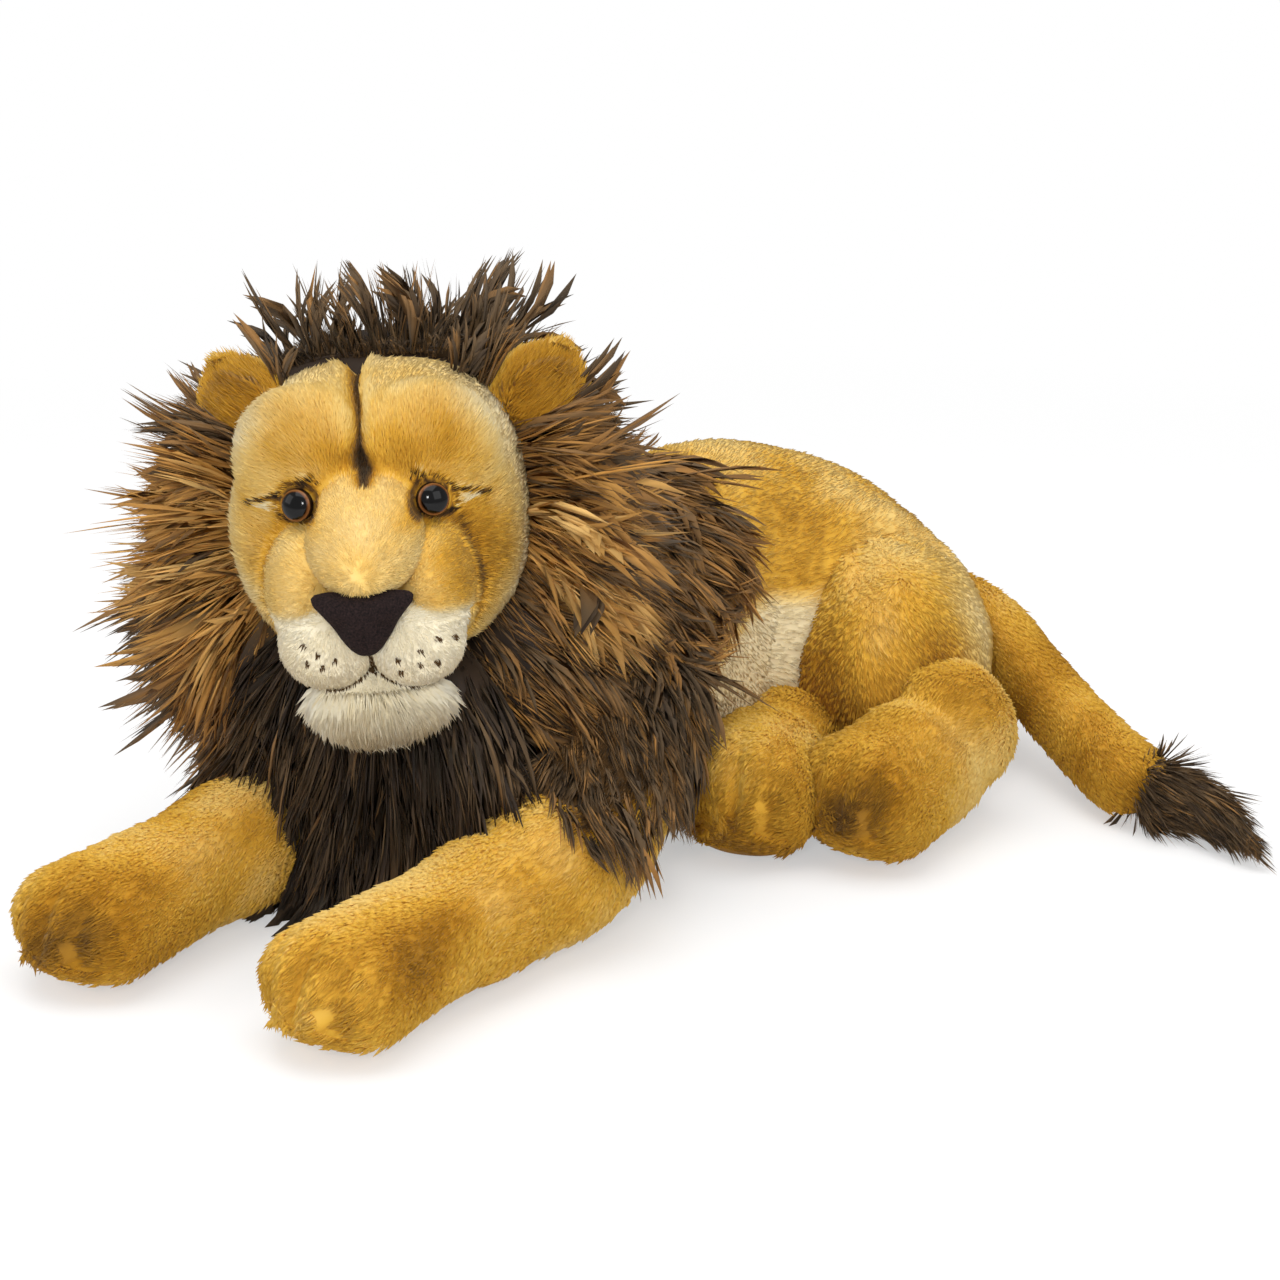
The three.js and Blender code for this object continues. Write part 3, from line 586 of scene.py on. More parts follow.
def long_hairs(paths, width, tones):
    """A thin closed spike along each path: the first three vertices stand round its start, each next one a
    third of a turn further round it, and the last is the tip. Each vertex makes a four-cornered solid with
    the three before it. The width falls away as a power of what is left."""
    count, steps = len(paths), HAIR_STEPS
    at = np.maximum(np.arange(steps + 2) - 2, 0)
    ahead = unit(np.gradient(paths, axis=1))
    side = unit(np.cross(ahead, chance.normal(size=(count, 1, 3))))
    other = np.cross(ahead, side)
    turn = (2 * math.pi / 3 * np.arange(steps + 2))[:, None]
    radius = width[:, None] * (1 - at / (steps - 1)) ** TAPER_POWER / 2
    vertices = paths[:, at] + radius[..., None] * (np.cos(turn) * side[:, at] + np.sin(turn) * other[:, at])
    vertices[..., 2] = np.maximum(vertices[..., 2], FLOOR_CLEAR)
    faces = [(0, 2, 1), (steps - 1, steps, steps + 1)]
    for step in range(steps - 1):
        faces += [(step, step + 1, step + 3), (step, step + 3, step + 2)]
    faces = ((steps + 2) * np.arange(count)[:, None, None] + np.array(faces)).reshape(-1, 3)
    u = tones[:, at].clip(*TONE_RANGE) + 0.002 * np.resize((-1, 0, 1), steps + 2)
    v = np.linspace(0.01, 0.99, steps)[at]
    return vertices.reshape(-1, 3), faces, vectors(u, v).reshape(-1, 2)


BOX_LOW, BOX_HIGH = np.array(cad_box[0]), np.array(cad_box[1])
TRIM = 0.028 * (BOX_HIGH - BOX_LOW) + 0.009
TRIM_LOW, TRIM_HIGH = BOX_LOW - TRIM, BOX_HIGH + TRIM
START_TURN, TURN_IN, DRAW_POWER, SPREAD_KEPT = 0.4, 0.50, 1.3, 0.30
WAVE_SIZE, LOCK_SWAY, HAIR_SWAY, STEP_SWAY, CURL_TURN = 0.035, 0.75, 0.08, 0.06, 3.6
HAIR_LENGTHS, LOCK_LENGTHS, LOCKS_AT_ONCE = 0.16, 0.12, 4000


def flowing(places, lead, flow, length, fall, clump, wave, curl, lock_size, gather):
    """Paths for long hairs: each starts along its lead and turns towards the flow as it goes, falling a
    little. Hairs are gathered into locks, each with its own curl, and draw together towards their lock's
    middle path, the roots by the share `gather`. A path that would leave the toy's own space is made
    shorter."""
    count = len(places)
    lock_count = max(4, int(count / lock_size))
    leaders = chance.choice(count, lock_count, replace=False)
    lock = np.empty(count, int)
    for start in range(0, count, LOCKS_AT_ONCE):
        run = slice(start, start + LOCKS_AT_ONCE)
        lock[run] = np.argmin(np.sum((places[run, None] - places[leaders][None]) ** 2, -1), 1)
    leader = leaders[lock]
    swing = chance.normal(size=(2, lock_count, 3))[:, lock]
    places = places + gather * (places[leader] - places)
    flow = unit(flow + wave * drifts(places, WAVE_SIZE, 7) + LOCK_SWAY * curl * swing[0]
                + HAIR_SWAY * chance.normal(size=(count, 3)))
    length = length * (1 + HAIR_LENGTHS * chance.normal(size=count)).clip(0.4, 1.4)
    length = length * (1 + LOCK_LENGTHS * swing[1, :, 0]).clip(0.7, 1.3)
    heading = unit(lead + START_TURN * (flow - lead))
    step_length = (length / (HAIR_STEPS - 1))[:, None]
    paths = [places - 0.002 * lead]
    for share in HAIR_RUN[1:]:
        bend = curl * math.cos(CURL_TURN * share) * swing[1]
        heading = unit(heading + TURN_IN * flow + bend - fall * share * UP
                       + STEP_SWAY * chance.normal(size=(count, 3)))
        paths.append(paths[-1] + step_length * heading)
    paths = np.stack(paths, 1)
    pull = clump * HAIR_RUN**DRAW_POWER * (0.6 + 0.4 * chance.random((count, 1)))
    spread = paths[leader] + SPREAD_KEPT * (places - places[leader])[:, None]
    paths = paths + pull[..., None] * (spread - paths)
    root, reach = paths[:, 0], paths - paths[:, :1]
    ahead, back = np.maximum(np.max(reach, 1), 1e-6), np.minimum(np.min(reach, 1), -1e-6)
    room = np.minimum((TRIM_HIGH - root) / ahead, (TRIM_LOW - root) / back)
    room[:, 2] = (TRIM_HIGH[2] - root[:, 2]) / ahead[:, 2]
    paths = paths[:, :1] + reach * np.clip(room.min(1), 0.1, 1)[:, None, None]
    paths[..., 2] = np.maximum(paths[..., 2], LOCK_CLEAR)
    return paths, lock


# Pieces

def add_piece(name, parts, paint, body, stands_for=()):
    """Joins parts, each vertices with their faces and map, into one mesh that rides on a body."""
    starts = np.cumsum([0] + [len(part[0]) for part in parts])
    vertices, maps = (np.concatenate([part[k] for part in parts]) for k in (0, 2))
    faces = np.concatenate([part[1] + start for part, start in zip(parts, starts)])
    mesh = bpy.data.meshes.new(name)
    mesh.vertices.add(len(vertices))
    mesh.vertices.foreach_set("co", vertices.astype(np.float32).ravel())
    mesh.loops.add(3 * len(faces))
    mesh.loops.foreach_set("vertex_index", faces.astype(np.int32).ravel())
    mesh.polygons.add(len(faces))
    mesh.polygons.foreach_set("loop_start", 3 * np.arange(len(faces), dtype=np.int32))
    mesh.update(calc_edges=True)
    layer = mesh.uv_layers.new(name="OFBake")
    layer.data.foreach_set("uv", maps[faces.ravel()].astype(np.float32).ravel())
    mesh.shade_smooth()
    mesh.materials.append(paint)
    piece = bpy.data.objects.new(name, mesh)
    bpy.context.scene.collection.objects.link(piece)
    if body is not None:
        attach(piece, body)
    if stands_for:
        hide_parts(*stands_for)
    return piece


def skin_part(skin, tone):
    """A skin as a part of a piece, at the root end of the colour range."""
    along = 0.16 + 0.06 * chance.random(len(skin.places))
    return skin.places, skin.faces, vectors(np.clip(tone, 0.01, 0.98), along)


RESTING, RESTING_BELOW, UNDERSIDE, UNDERSIDE_SHARE = -0.2, 0.010, -0.5, 0.5
PLUSH_UNEVEN, FACE_UNEVEN, HAIR_UNEVEN = 0.022, 0.020, 0.07


def plush_piece(name, skin, count, nap, tone, length=0.0080, width=0.0012, keep=None, stands_for=(),
                body="lion", stand=0.31, hidden_by=(), cover=0.004):
    """A stuffed piece: its skin and the short pile on it. Where it rests on the floor it has no pile, and
    on its underside half. Pile goes on under its neighbours as deep as the cover."""
    places, normals = roots_on(skin, count, keep)
    shown = ~((normals[:, 2] < RESTING) & (places[:, 2] < RESTING_BELOW))
    shown &= (normals[:, 2] > UNDERSIDE) | (chance.random(len(places)) < UNDERSIDE_SHARE)
    for other in hidden_by:
        shown &= ~other.holds(places, cover)
    places, normals = places[shown], normals[shown]
    tones = tone(places, normals) + PLUSH_UNEVEN * chance.normal(size=len(places))
    hairs = short_hairs(places, normals, nap(places), length, width, tones, stand)
    parts = [skin_part(skin, tone(skin.places, skin.normals)), hairs]
    return add_piece(name, parts, plush, body, stands_for)


# The body's forms, with the sizes and stations of the solids

FORELEG_STATIONS = ((-.5, 0, .34, .86, .64), (-.4, 0, .40, 1, .80), (-.25, 0, .44, .90, .88),
                    (-.04, .02, .48, .92, .94), (.16, 0, .60, 1, 1.08), (.33, -.16, 1.00, .92, 1.10),
                    (.5, -.42, 1.45, .76, .92))
FOOT_STATIONS = ((-.5, 0, .42, .90, .80), (-.30, 0, .48, 1, .96), (0, 0, .52, .98, 1.02),
                 (.28, 0, .74, .98, 1.16), (.5, -.06, 1.04, .90, 1.12))
LOW_FOOT_STATIONS = ((-.5, 0, .44, .92, .84), (-.30, 0, .50, 1.02, 1), (0, 0, .50, .94, .98),
                     (.28, 0, .54, .94, .98), (.5, -.06, .66, .88, .92))
HAUNCH_STATIONS = ((-.46, .22, -.14, .78, .68), (-.22, .11, -.06, .92, .86), (.05, 0, 0, 1, 1),
                   (.28, -.14, .04, .92, .94), (.5, -.28, .06, .74, .78))
PAD_STATIONS = ((0, 0, -.5, .84, .84), (0, 0, -.18, 1, 1), (0, 0, .18, 1, 1), (0, 0, .5, .84, .84))

torso_form = StuffedForm(
    ((-.454, 0, .33, .80, .62), (-.37, 0, .36, .86, .72), (-.26, 0, .43, .94, .86),
     (-.11, 0, .49, .96, .98), (0, 0, .50, .95, 1), (.11, .03, .50, .96, 1), (.222, .08, .465, 1, .94),
     (.333, .15, .375, 1, .78), (.426, .21, .29, .90, .60), (.520, .28, .26, .76, .48)),
    0.540, 0.180, 0.213, 0.15, lift_to=ON_FLOOR)
belly_form = StuffedForm(
    ((-.5, 0, .28, .7, .8), (-.2, 0, .25, 1, 1), (.2, .04, .28, 1, 1.1), (.5, .1, .34, .8, .9)),
    0.300, 0.165, 0.176, 0.42, place=(0.038, -0.010, 0))
FORELEG_SIZE, FOOT_SIZE = (0.350, 0.092, 0.088), (0.156, 0.090, 0.084)


def limbs(size, cap, left, right, **more):
    """The left and the right form of a size: each one's stations, turn about the upright axis and place."""
    return {word: StuffedForm(stations, *size, cap, side=side, turn=turned(0, 0, angle), place=place, **more)
            for (word, side), (stations, angle, place) in zip(SIDES, (left, right))}


haunch_forms = limbs((0.186, 0.120, 0.152), 0.42, (HAUNCH_STATIONS, 180, (0.117, 0.112, 0.083)),
                     (HAUNCH_STATIONS, 184, (-0.042, 0.122, 0.082)))
foot_forms = limbs(FOOT_SIZE, 0.26, (FOOT_STATIONS, -3, (0.176, 0.022, 0)),
                   (LOW_FOOT_STATIONS, 18, (0.100, -0.014, 0)), lift_to=ON_FLOOR)
foreleg_forms = limbs(FORELEG_SIZE, 0.14, (FORELEG_STATIONS, -2, (0.091, -0.256, 0)),
                      (FORELEG_STATIONS, -1, (-0.073, -0.270, 0)), lift_to=ON_FLOOR)
tail_form = StuffedForm(
    ((-.14, 0, 0, .92, .92), (0, 0, 0, 1, 1), (.18, .14, -.14, .96, .96), (.40, .56, -.52, .96, .96),
     (.64, 1.12, -.82, .98, .98), (.87, 1.70, -.98, 1, 1), (1.02, 1.98, -1.02, .94, .94)),
    0.205, 0.054, 0.054, 0.11, turn=turned(0, 0, -90), place=(0.084, 0.228, 0.076), lift_to=ON_FLOOR)
tuft_form = StuffedForm(
    ((0, 0, 0, .72, .78), (.22, .04, -.02, 1, 1), (.55, .26, -.06, .86, .86), (.82, .56, -.14, .54, .56),
     (1, .86, -.24, .26, .28)),
    0.098, 0.052, 0.046, 0.14, turn=turned(0, 0, -82), place=(0.262, 0.134, 0), lift_to=ON_FLOOR)
cape_form = StuffedForm(
    ((-.5, -.02, .02, .84, .80), (-.22, 0, 0, 1, 1), (.10, .02, .01, .96, .99), (.34, .06, .05, .86, .92),
     (.5, .08, .10, .78, .82)),
    0.256, 0.224, 0.214, 0.15, place=(-0.018, -0.092, 0.120))
bib_form = StuffedForm(
    ((.06, 0, 0, .60, .70), (.02, 0, .24, .84, .96), (0, 0, .55, 1, 1.04), (0, 0, .82, .96, 1),
     (0, 0, 1, .80, .90)),
    0.092, 0.176, 0.190, 0.26, thick=0.092, up=AHEAD, place=(-0.016, -0.232, 0))

HEAD_TURN = turned(-4, -3, 34)
HEAD_PLACE = np.array((-0.020, -0.217, 0.222))


def in_head(x, y, z):
    """A place given from the middle of the head, along its own axes, in the row frame."""
    return HEAD_TURN @ np.array((x, y, z)) + HEAD_PLACE


def head_local(points):
    """Places in the row frame along the head's own axes."""
    return (points - HEAD_PLACE) @ HEAD_TURN


def head_world(points):
    """Places along the head's own axes in the row frame."""
    return points @ HEAD_TURN.T + HEAD_PLACE


def head_form(stations, length, width, height, cap, thick=None, up=UP, turn=np.eye(3), at=(0, 0, 0)):
    """A form placed in the head's own frame."""
    return StuffedForm(stations, length, width, height, cap, thick, up=up, turn=HEAD_TURN @ turn,
                       place=in_head(*at))


CROWN_LEFT = 0.009
crest_form = head_form(
    ((-.5, 0, -.40, .62, .62), (-.25, 0, 0, .92, .94), (.05, .02, .04, 1, 1), (.30, .04, -.04, .90, .92),
     (.5, .02, -.44, .60, .62)),
    0.176, 0.084, 0.062, 0.15, turn=turned(0, 0, 90), at=(CROWN_LEFT, 0.020, 0.090))
nape_form = head_form(PAD_STATIONS, 0.092, 0.178, 0.196, 0.42, thick=0.092, up=AHEAD,
                      at=(CROWN_LEFT, 0.066, 0.006))
head_solid = head_form(
    ((.02, 0, -.5, .72, .72), (.02, 0, -.3, .92, .90), (0, 0, -.08, 1, .98), (0, 0, .12, .99, 1),
     (.02, 0, .32, .88, .92), (.04, 0, .5, .68, .72)),
    0.172, 0.172, 0.182, 0.40, thick=0.172, up=AHEAD)
EAR_STATIONS = ((0, 0, -.5, .92, 1), (0, 0, -.1, 1, 1), (0, .02, .22, .92, .86), (0, .04, .5, .62, .60))
EAR_OUT, EAR_LEAN, EAR_SPLAY = 0.080, 28, 14


def ear_form(side, length, width, height, thick, back, above):
    """An ear or its lining on one side of the head, leaning out and turned to the side."""
    return head_form(EAR_STATIONS, length, width, height, 0.42, thick=thick, up=AHEAD,
                     turn=turned(0, side * EAR_LEAN, side * EAR_SPLAY),
                     at=(CROWN_LEFT + side * EAR_OUT, back, above))


ear_forms = {word: ear_form(side, 0.026, 0.058, 0.064, 0.026, 0.004, 0.066) for word, side in SIDES}


# Tone of the body's plush

# Painted shade and light on the body: spots below zero are painted shade in the creases between its parts,
# and spots above zero are painted highlights, pale patches on the haunches, back, elbows and paws. Each gives
# a place, a spread and how much paler.
PAINTED_SHADE_AND_LIGHT = (
    ((0.160, 0.003, 0.079), 0.020, -0.15), ((0.185, 0.050, 0.089), 0.020, -0.10),
    ((0.100, 0.045, 0.100), 0.026, -0.10), ((0.130, -0.030, 0.030), 0.028, -0.06),
    ((0.120, 0.060, 0.120), 0.022, -0.08), ((0.178, 0.145, 0.112), 0.045, 0.17),
    ((0.070, 0.020, 0.180), 0.040, 0.13), ((0.110, 0.140, 0.155), 0.040, 0.12),
    ((0.120, -0.130, 0.050), 0.060, 0.17), ((-0.080, -0.330, 0.090), 0.060, 0.02),
    ((0.220, 0.060, 0.050), 0.030, 0.16), ((0.060, -0.330, 0.085), 0.040, 0.07))
GOLD, CREAM, DARK = 0.43, 0.87, 0.07
GOLD_PATCHES = (0.16, 0.060, 11), (0.09, 0.028, 12), (0.025, 0.012, 13)


def body_tone(places, normals):
    """Golden tan, in patches, with painted shade in the creases, painted highlights as pale patches on the
    flanks and the outer edges, and a little painted light on surfaces that face up.
    """
    # Painted light: a surface is a little paler the more it faces up; then each spot adds its painted shade
    # or painted highlight.
    tone = GOLD + patches(places, *GOLD_PATCHES) + 0.03 * normals[:, 2]
    for centre, spread, paler in PAINTED_SHADE_AND_LIGHT:
        tone = tone + paler * near(distance(places, centre), spread)
    return tone


def steady(direction):
    """A nap that runs one way all over."""
    return lambda places: np.broadcast_to(np.array(direction, float), places.shape)


PAW_SWELL, WRIST_SPREAD, GAP_SPREAD, FOLD_SPREAD = 0.0035, 0.09, 0.050, 0.009
AMBER_PAW, AMBER_TIP, PALE_SOLE, TOE_SPREAD = 0.08, 0.06, 0.10, 0.04


def toes_and_folds(size, gaps, folds, reach, wrist, dip):
    """Dimples between the toes at the front end, a paw that swells and a wrist that is drawn in, and soft
    folds across the top of the leg."""
    length, width, _ = size

    def shaping(places, normals, share):
        front = np.clip(1.15 - share / reach, 0, 1)
        out = PAW_SWELL * (near(share - 0.55 * reach, 0.4 * reach) - near(share - wrist, WRIST_SPREAD))
        for gap in gaps:
            out -= dip * near(places[:, 0] / width - gap, GAP_SPREAD) * front * (normals[:, 2] > -0.5)
        for fold, deep in folds:
            out -= deep * near((share - fold) * length, FOLD_SPREAD) * ramp(normals[:, 2], -0.6, 1)
        return out + 0.0016 * drift(places, 0.035, 21)
    return shaping


def paw_tone(form, size, gaps, reach, deep):
    """The body's tone, more amber over the paw, with painted shade in the dimples between its toes."""
    def tone(places, normals):
        local = form.own(places)
        share = local[:, 1] / size[0] + 0.5
        tone = body_tone(places, normals) - AMBER_PAW * np.clip(1.2 - share / (1.8 * reach), 0, 1)
        tone = tone - AMBER_TIP * ramp(share, 0.14, -0.14)
        # Painted shade in the dimples between the toes, towards the front end, as strong as `deep`.
        for gap in gaps:
            toe_dimple_shade = near(local[:, 0] / size[1] - gap, TOE_SPREAD)
            tone = tone - deep * toe_dimple_shade * np.clip(1.3 * ramp(share, reach, -reach), 0, 1)
        return tone + PALE_SOLE * ramp(places[:, 2], 0.022, -0.022)
    return tone


LOCKS_FROM = {"left": -0.240, "right": -0.262}


def locks_cover(places, word):
    """How far the mane's locks cover a foreleg: its high rear part."""
    return (ramp(places[:, 1] - 0.02 * drift(places, 0.03, 56), LOCKS_FROM[word], 0.020)
            * ramp(places[:, 2] - 0.012 * drift(places, 0.02, 57), 0.070, 0.014))


def under_locks(tone, word):
    """A tone that is dark brown where the mane's locks cover a foreleg."""
    def darker(places, normals):
        cover = np.clip(1.4 * locks_cover(places, word) - 0.4, 0, 1)
        return tone(places, normals) * (1 - cover) + DARK * cover
    return darker


def soft_lumps(places):
    """The uneven filling under the cloth, as low wide lumps."""
    return patches(places, (0.0028, 0.055, 31), (0.0010, 0.022, 32))


# Trunk and legs

CAPE_EDGE = ((0.0, 0.023, 0.079, 0.106, 0.161, 0.200, 0.230),
             (-0.100, -0.105, -0.120, -0.102, -0.024, 0.010, 0.020))


def tuck(points):
    """How far the cape is drawn in at places: behind its rear edge, which depends on the height."""
    return 0.060 * ramp(points[:, 1], np.interp(points[:, 2], *CAPE_EDGE), 0.025)


class TuckedCape:
    """The cape with the part behind its rear edge drawn in."""

    def holds(self, points, margin=0.0):
        """Whether points lie deeper than the margin in the cape."""
        return cape_form.holds(points, margin + 0.010 + tuck(points))

    def shaping(self, places, normals, share):
        """The tuck as a shaping of the cape's form."""
        return -tuck(cape_form.in_row(places))


tucked_cape = TuckedCape()
TRUNK_FILLET, HAUNCH_FILLET, FILLET_SPREAD, CHEST_INWARD = 0.016, 0.009, 0.020, 0.024


def chest_under_mane(places, normals, share):
    """The lumps of the filling, a fillet where the haunches are sewn on, and the chest drawn in where the
    mane covers it."""
    world = torso_form.in_row(places)
    covered = tucked_cape.holds(world, -0.004) | bib_form.holds(world, -0.004)
    fillet = sum(TRUNK_FILLET * near(form.apart(world), FILLET_SPREAD) for form in haunch_forms.values())
    return (soft_lumps(places) + fillet * (world[:, 2] > 0.05)
            - CHEST_INWARD * covered * ramp(world[:, 1], 0, -0.06))


def haunch_lumps(form):
    """The lumps of the filling, and a fillet where the haunch is sewn to the trunk."""
    def shaping(places, normals, share):
        world = form.in_row(places)
        fillet = HAUNCH_FILLET * near(torso_form.apart(world), FILLET_SPREAD)
        return soft_lumps(places) + fillet * (world[:, 2] > 0.06)
    return shaping


FLANK_EDGE = (-0.060, -0.030, 0.000, 0.020, 0.045), (0.096, 0.122, 0.134, 0.138, 0.132)


CREAM_FRONT, CREAM_SLANT, CREAM_HEIGHT, CREAM_EDGE = -0.046, 1.67, 0.1055, 0.0035


def cream_share(places):
    """How much of a place is cream: below the flank and behind a slanting line, with a soft edge."""
    x, y, z = places.T
    top = np.interp(y, *FLANK_EDGE) - 0.045 * (x < 0)
    front = CREAM_FRONT - CREAM_SLANT * (CREAM_HEIGHT - z)
    gold = np.maximum(front - y, (z - top) * 1.4) + 0.003 * drift(places, 0.015, 14)
    return 1 / (1 + np.exp(np.clip(gold / CREAM_EDGE, -30, 30))) * (y < 0.08) * (np.abs(x) > 0.03)


def torso_tone(places, normals):
    """Golden, with the cream of the belly running up on its sides."""
    cream = cream_share(places) * (normals[:, 2] < 0.6)
    return body_tone(places, normals) * (1 - cream) + CREAM * cream


torso_skin = torso_form.skin(90, 96, shaping=chest_under_mane, floor=SKIN_CLEAR)
plush_piece("torso_plush", torso_skin, 58000, steady((0.0, 1.0, -0.35)), torso_tone,
            stands_for=("torso", "torso_fill", "neck_fill"),
            hidden_by=(*haunch_forms.values(), tucked_cape, *foot_forms.values()), cover=0.018)


def drawn_within(form, skin, margin, start):
    """The skin with each place that lies outside the other form moved back along its line from a start
    until it is inside, found by halving."""
    rays = skin.places - start
    low, high = np.zeros(len(rays)), np.ones(len(rays))
    whole = form.holds(skin.places, margin)
    for _ in range(11):
        middle = (low + high) / 2
        inside = form.holds(start + rays * middle[:, None], margin)
        low, high = np.where(inside, middle, low), np.where(inside, high, middle)
    return Skin(start + rays * np.where(whole, 1, low)[:, None], skin.faces)


belly_skin = drawn_within(torso_form, belly_form.skin(80, 96, inset=0.0, floor=SKIN_CLEAR), 0.0035,
                          np.array((0.030, -0.010, 0.075)))


def belly_tone(places, normals):
    """Cream, with gold in front of a slanting line and above the flank's edge."""
    cream = cream_share(places)
    pale = CREAM + 0.03 * drift(places, 0.02, 14)
    return pale * cream + (body_tone(places, normals) + 0.08) * (1 - cream)


plush_piece("belly_plush", belly_skin, 33000, steady((0.3, 0.6, -1.0)), belly_tone, length=0.0066,
            width=0.0010, stand=0.20, stands_for=("belly_panel",),
            hidden_by=(tucked_cape,), keep=lambda places: ~torso_form.holds(places, 0.0075))
FOOT_GAPS, FORELEG_GAPS = (-0.24, 0.02, 0.27), (-0.27, 0.0, 0.27)
FOOT_FOLDS, FORELEG_FOLDS = ((0.62, 0.0015),), ((0.46, 0.0022), (0.60, 0.003))
FOOT_TOES, FORELEG_TOES = 0.24, 0.13
PAW_NAP = steady((0, -1.0, -0.25))
for word, side in SIDES:
    haunch, foot, foreleg = haunch_forms[word], foot_forms[word], foreleg_forms[word]
    other_legs = (torso_form,) if word == "left" else (torso_form, belly_form)
    plush_piece(f"haunch_{word}_plush",
                haunch.skin(56, 80, shaping=haunch_lumps(haunch), floor=SKIN_CLEAR),
                37000 if side > 0 else 22000, steady((0.1 * side, 0.35, -1.0)), body_tone,
                stands_for=(f"haunch_{word}", f"haunch_{word}_fill"),
                hidden_by=other_legs + (foot,), cover=0.013)
    shape = toes_and_folds(FOOT_SIZE, FOOT_GAPS, FOOT_FOLDS, FOOT_TOES, 0.66, 0.0055)
    plush_piece(f"hind_foot_{word}_plush", foot.skin(64, 96, shaping=shape, floor=SKIN_CLEAR),
                25000, PAW_NAP, paw_tone(foot, FOOT_SIZE, FOOT_GAPS, FOOT_TOES, 0.04),
                stands_for=(f"hind_foot_{word}", f"hind_foot_{word}_fill"),
                hidden_by=(torso_form,) + ((haunch,) if word == "left" else ()), cover=0.010)
    shape = toes_and_folds(FORELEG_SIZE, FORELEG_GAPS, FORELEG_FOLDS, FORELEG_TOES, 0.32, 0.0080)
    plush_piece(f"foreleg_{word}_plush", foreleg.skin(96, 96, shaping=shape, floor=SKIN_CLEAR),
                35000, PAW_NAP,
                under_locks(paw_tone(foreleg, FORELEG_SIZE, FORELEG_GAPS, FORELEG_TOES, 0.09), word),
                stands_for=(f"foreleg_{word}", f"foreleg_{word}_fill"),
                hidden_by=(torso_form, bib_form, tucked_cape))


# Head: one face worked out from rounded forms, and the pile of each named region on it

EYE_OUT, EYE_AHEAD, EYE_ABOVE = 0.035, 0.0774, 0.027
FACE_CENTRE = np.array((0.0, -0.030, -0.012))
SKULL_PLACE, SKULL_RADII = np.array((0.003, 0.003, 0.011)), np.array((0.0800, 0.0805, 0.0830))
FACE_FORMS = {
    "nose_bridge": ((0, -0.090, 0.012), (0.033, 0.043, 0.025), (36, 0, 0), 0.0030),
    "chin": ((0, -0.0765, -0.0755), (0.037, 0.029, 0.026), (0, 0, 0), 0.0045)}
for face_word, face_side in SIDES:
    FACE_FORMS |= {
        f"brow_{face_word}": ((face_side * 0.035, -0.057, 0.052), (0.040, 0.029, 0.040),
                              (0, face_side * 12, 0), 0.0050),
        f"cheek_{face_word}": ((face_side * 0.052, -0.045, -0.008), (0.027, 0.033, 0.050),
                               (0, face_side * 15, 0), 0.0050),
        f"flew_{face_word}": ((face_side * 0.034, -0.072, -0.018), (0.024, 0.040, 0.034),
                              (0, 0, 0), 0.0030),
        f"lip_{face_word}": ((face_side * 0.0230, -0.092, -0.0435), (0.0278, 0.029, 0.0265),
                             (0, 0, 0), 0.0030)}
FACE_NAMES = ["head", *FACE_FORMS]
SKULL_POWER = 2.6


def face_distances(points):
    """How far points lie outside each form of the face. The skull is a rounded block. For the others,
    with q the place over the radii and s the place over their squares, it is |q| (|q| - 1) / |s|."""
    size = np.abs((points - SKULL_PLACE) / SKULL_RADII)
    level = (size[..., :2] ** SECTION_POWER).sum(-1) ** (1 / SECTION_POWER)
    found = [((level**SKULL_POWER + size[..., 2] ** SKULL_POWER) ** (1 / SKULL_POWER) - 1) * SKULL_RADII[0]]
    for centre, radii, turn, inset in FACE_FORMS.values():
        local, radii = (points - np.array(centre)) @ turned(*turn), np.array(radii) - inset
        q, s = np.linalg.norm(local / radii, axis=-1), np.linalg.norm(local / radii**2, axis=-1)
        found.append(q * (q - 1) / np.maximum(s, 1e-9))
    return np.stack(found)


def soft_union(distances, blend):
    """Minus the blend times the logarithm of the sum of exp(-distance / blend)."""
    lowest = distances.min(0)
    return lowest - blend * np.log(np.exp(-(distances - lowest).clip(0, 30 * blend) / blend).sum(0))


FURROW = (0.039, 0.048, 0.068, 0.087), (0.001, -0.002, -0.003, -0.009)
SOCKET_RADII = (0.0125, 0.012, 0.0110)
MASK_BLEND, BRIDGE_BLEND, LIP_BLEND, CHIN_BLEND, FACE_BLEND = 0.0075, 0.0016, 0.0020, 0.0012, 0.0022
MASK_INSET, FURROW_DEPTH, FURROW_SPREAD, FURROW_FROM = 0.0040, 0.0090, 0.0048, 0.036


def furrow_at(z):
    """How far to the side the furrow between the brows runs at a height."""
    return np.interp(z, *FURROW)


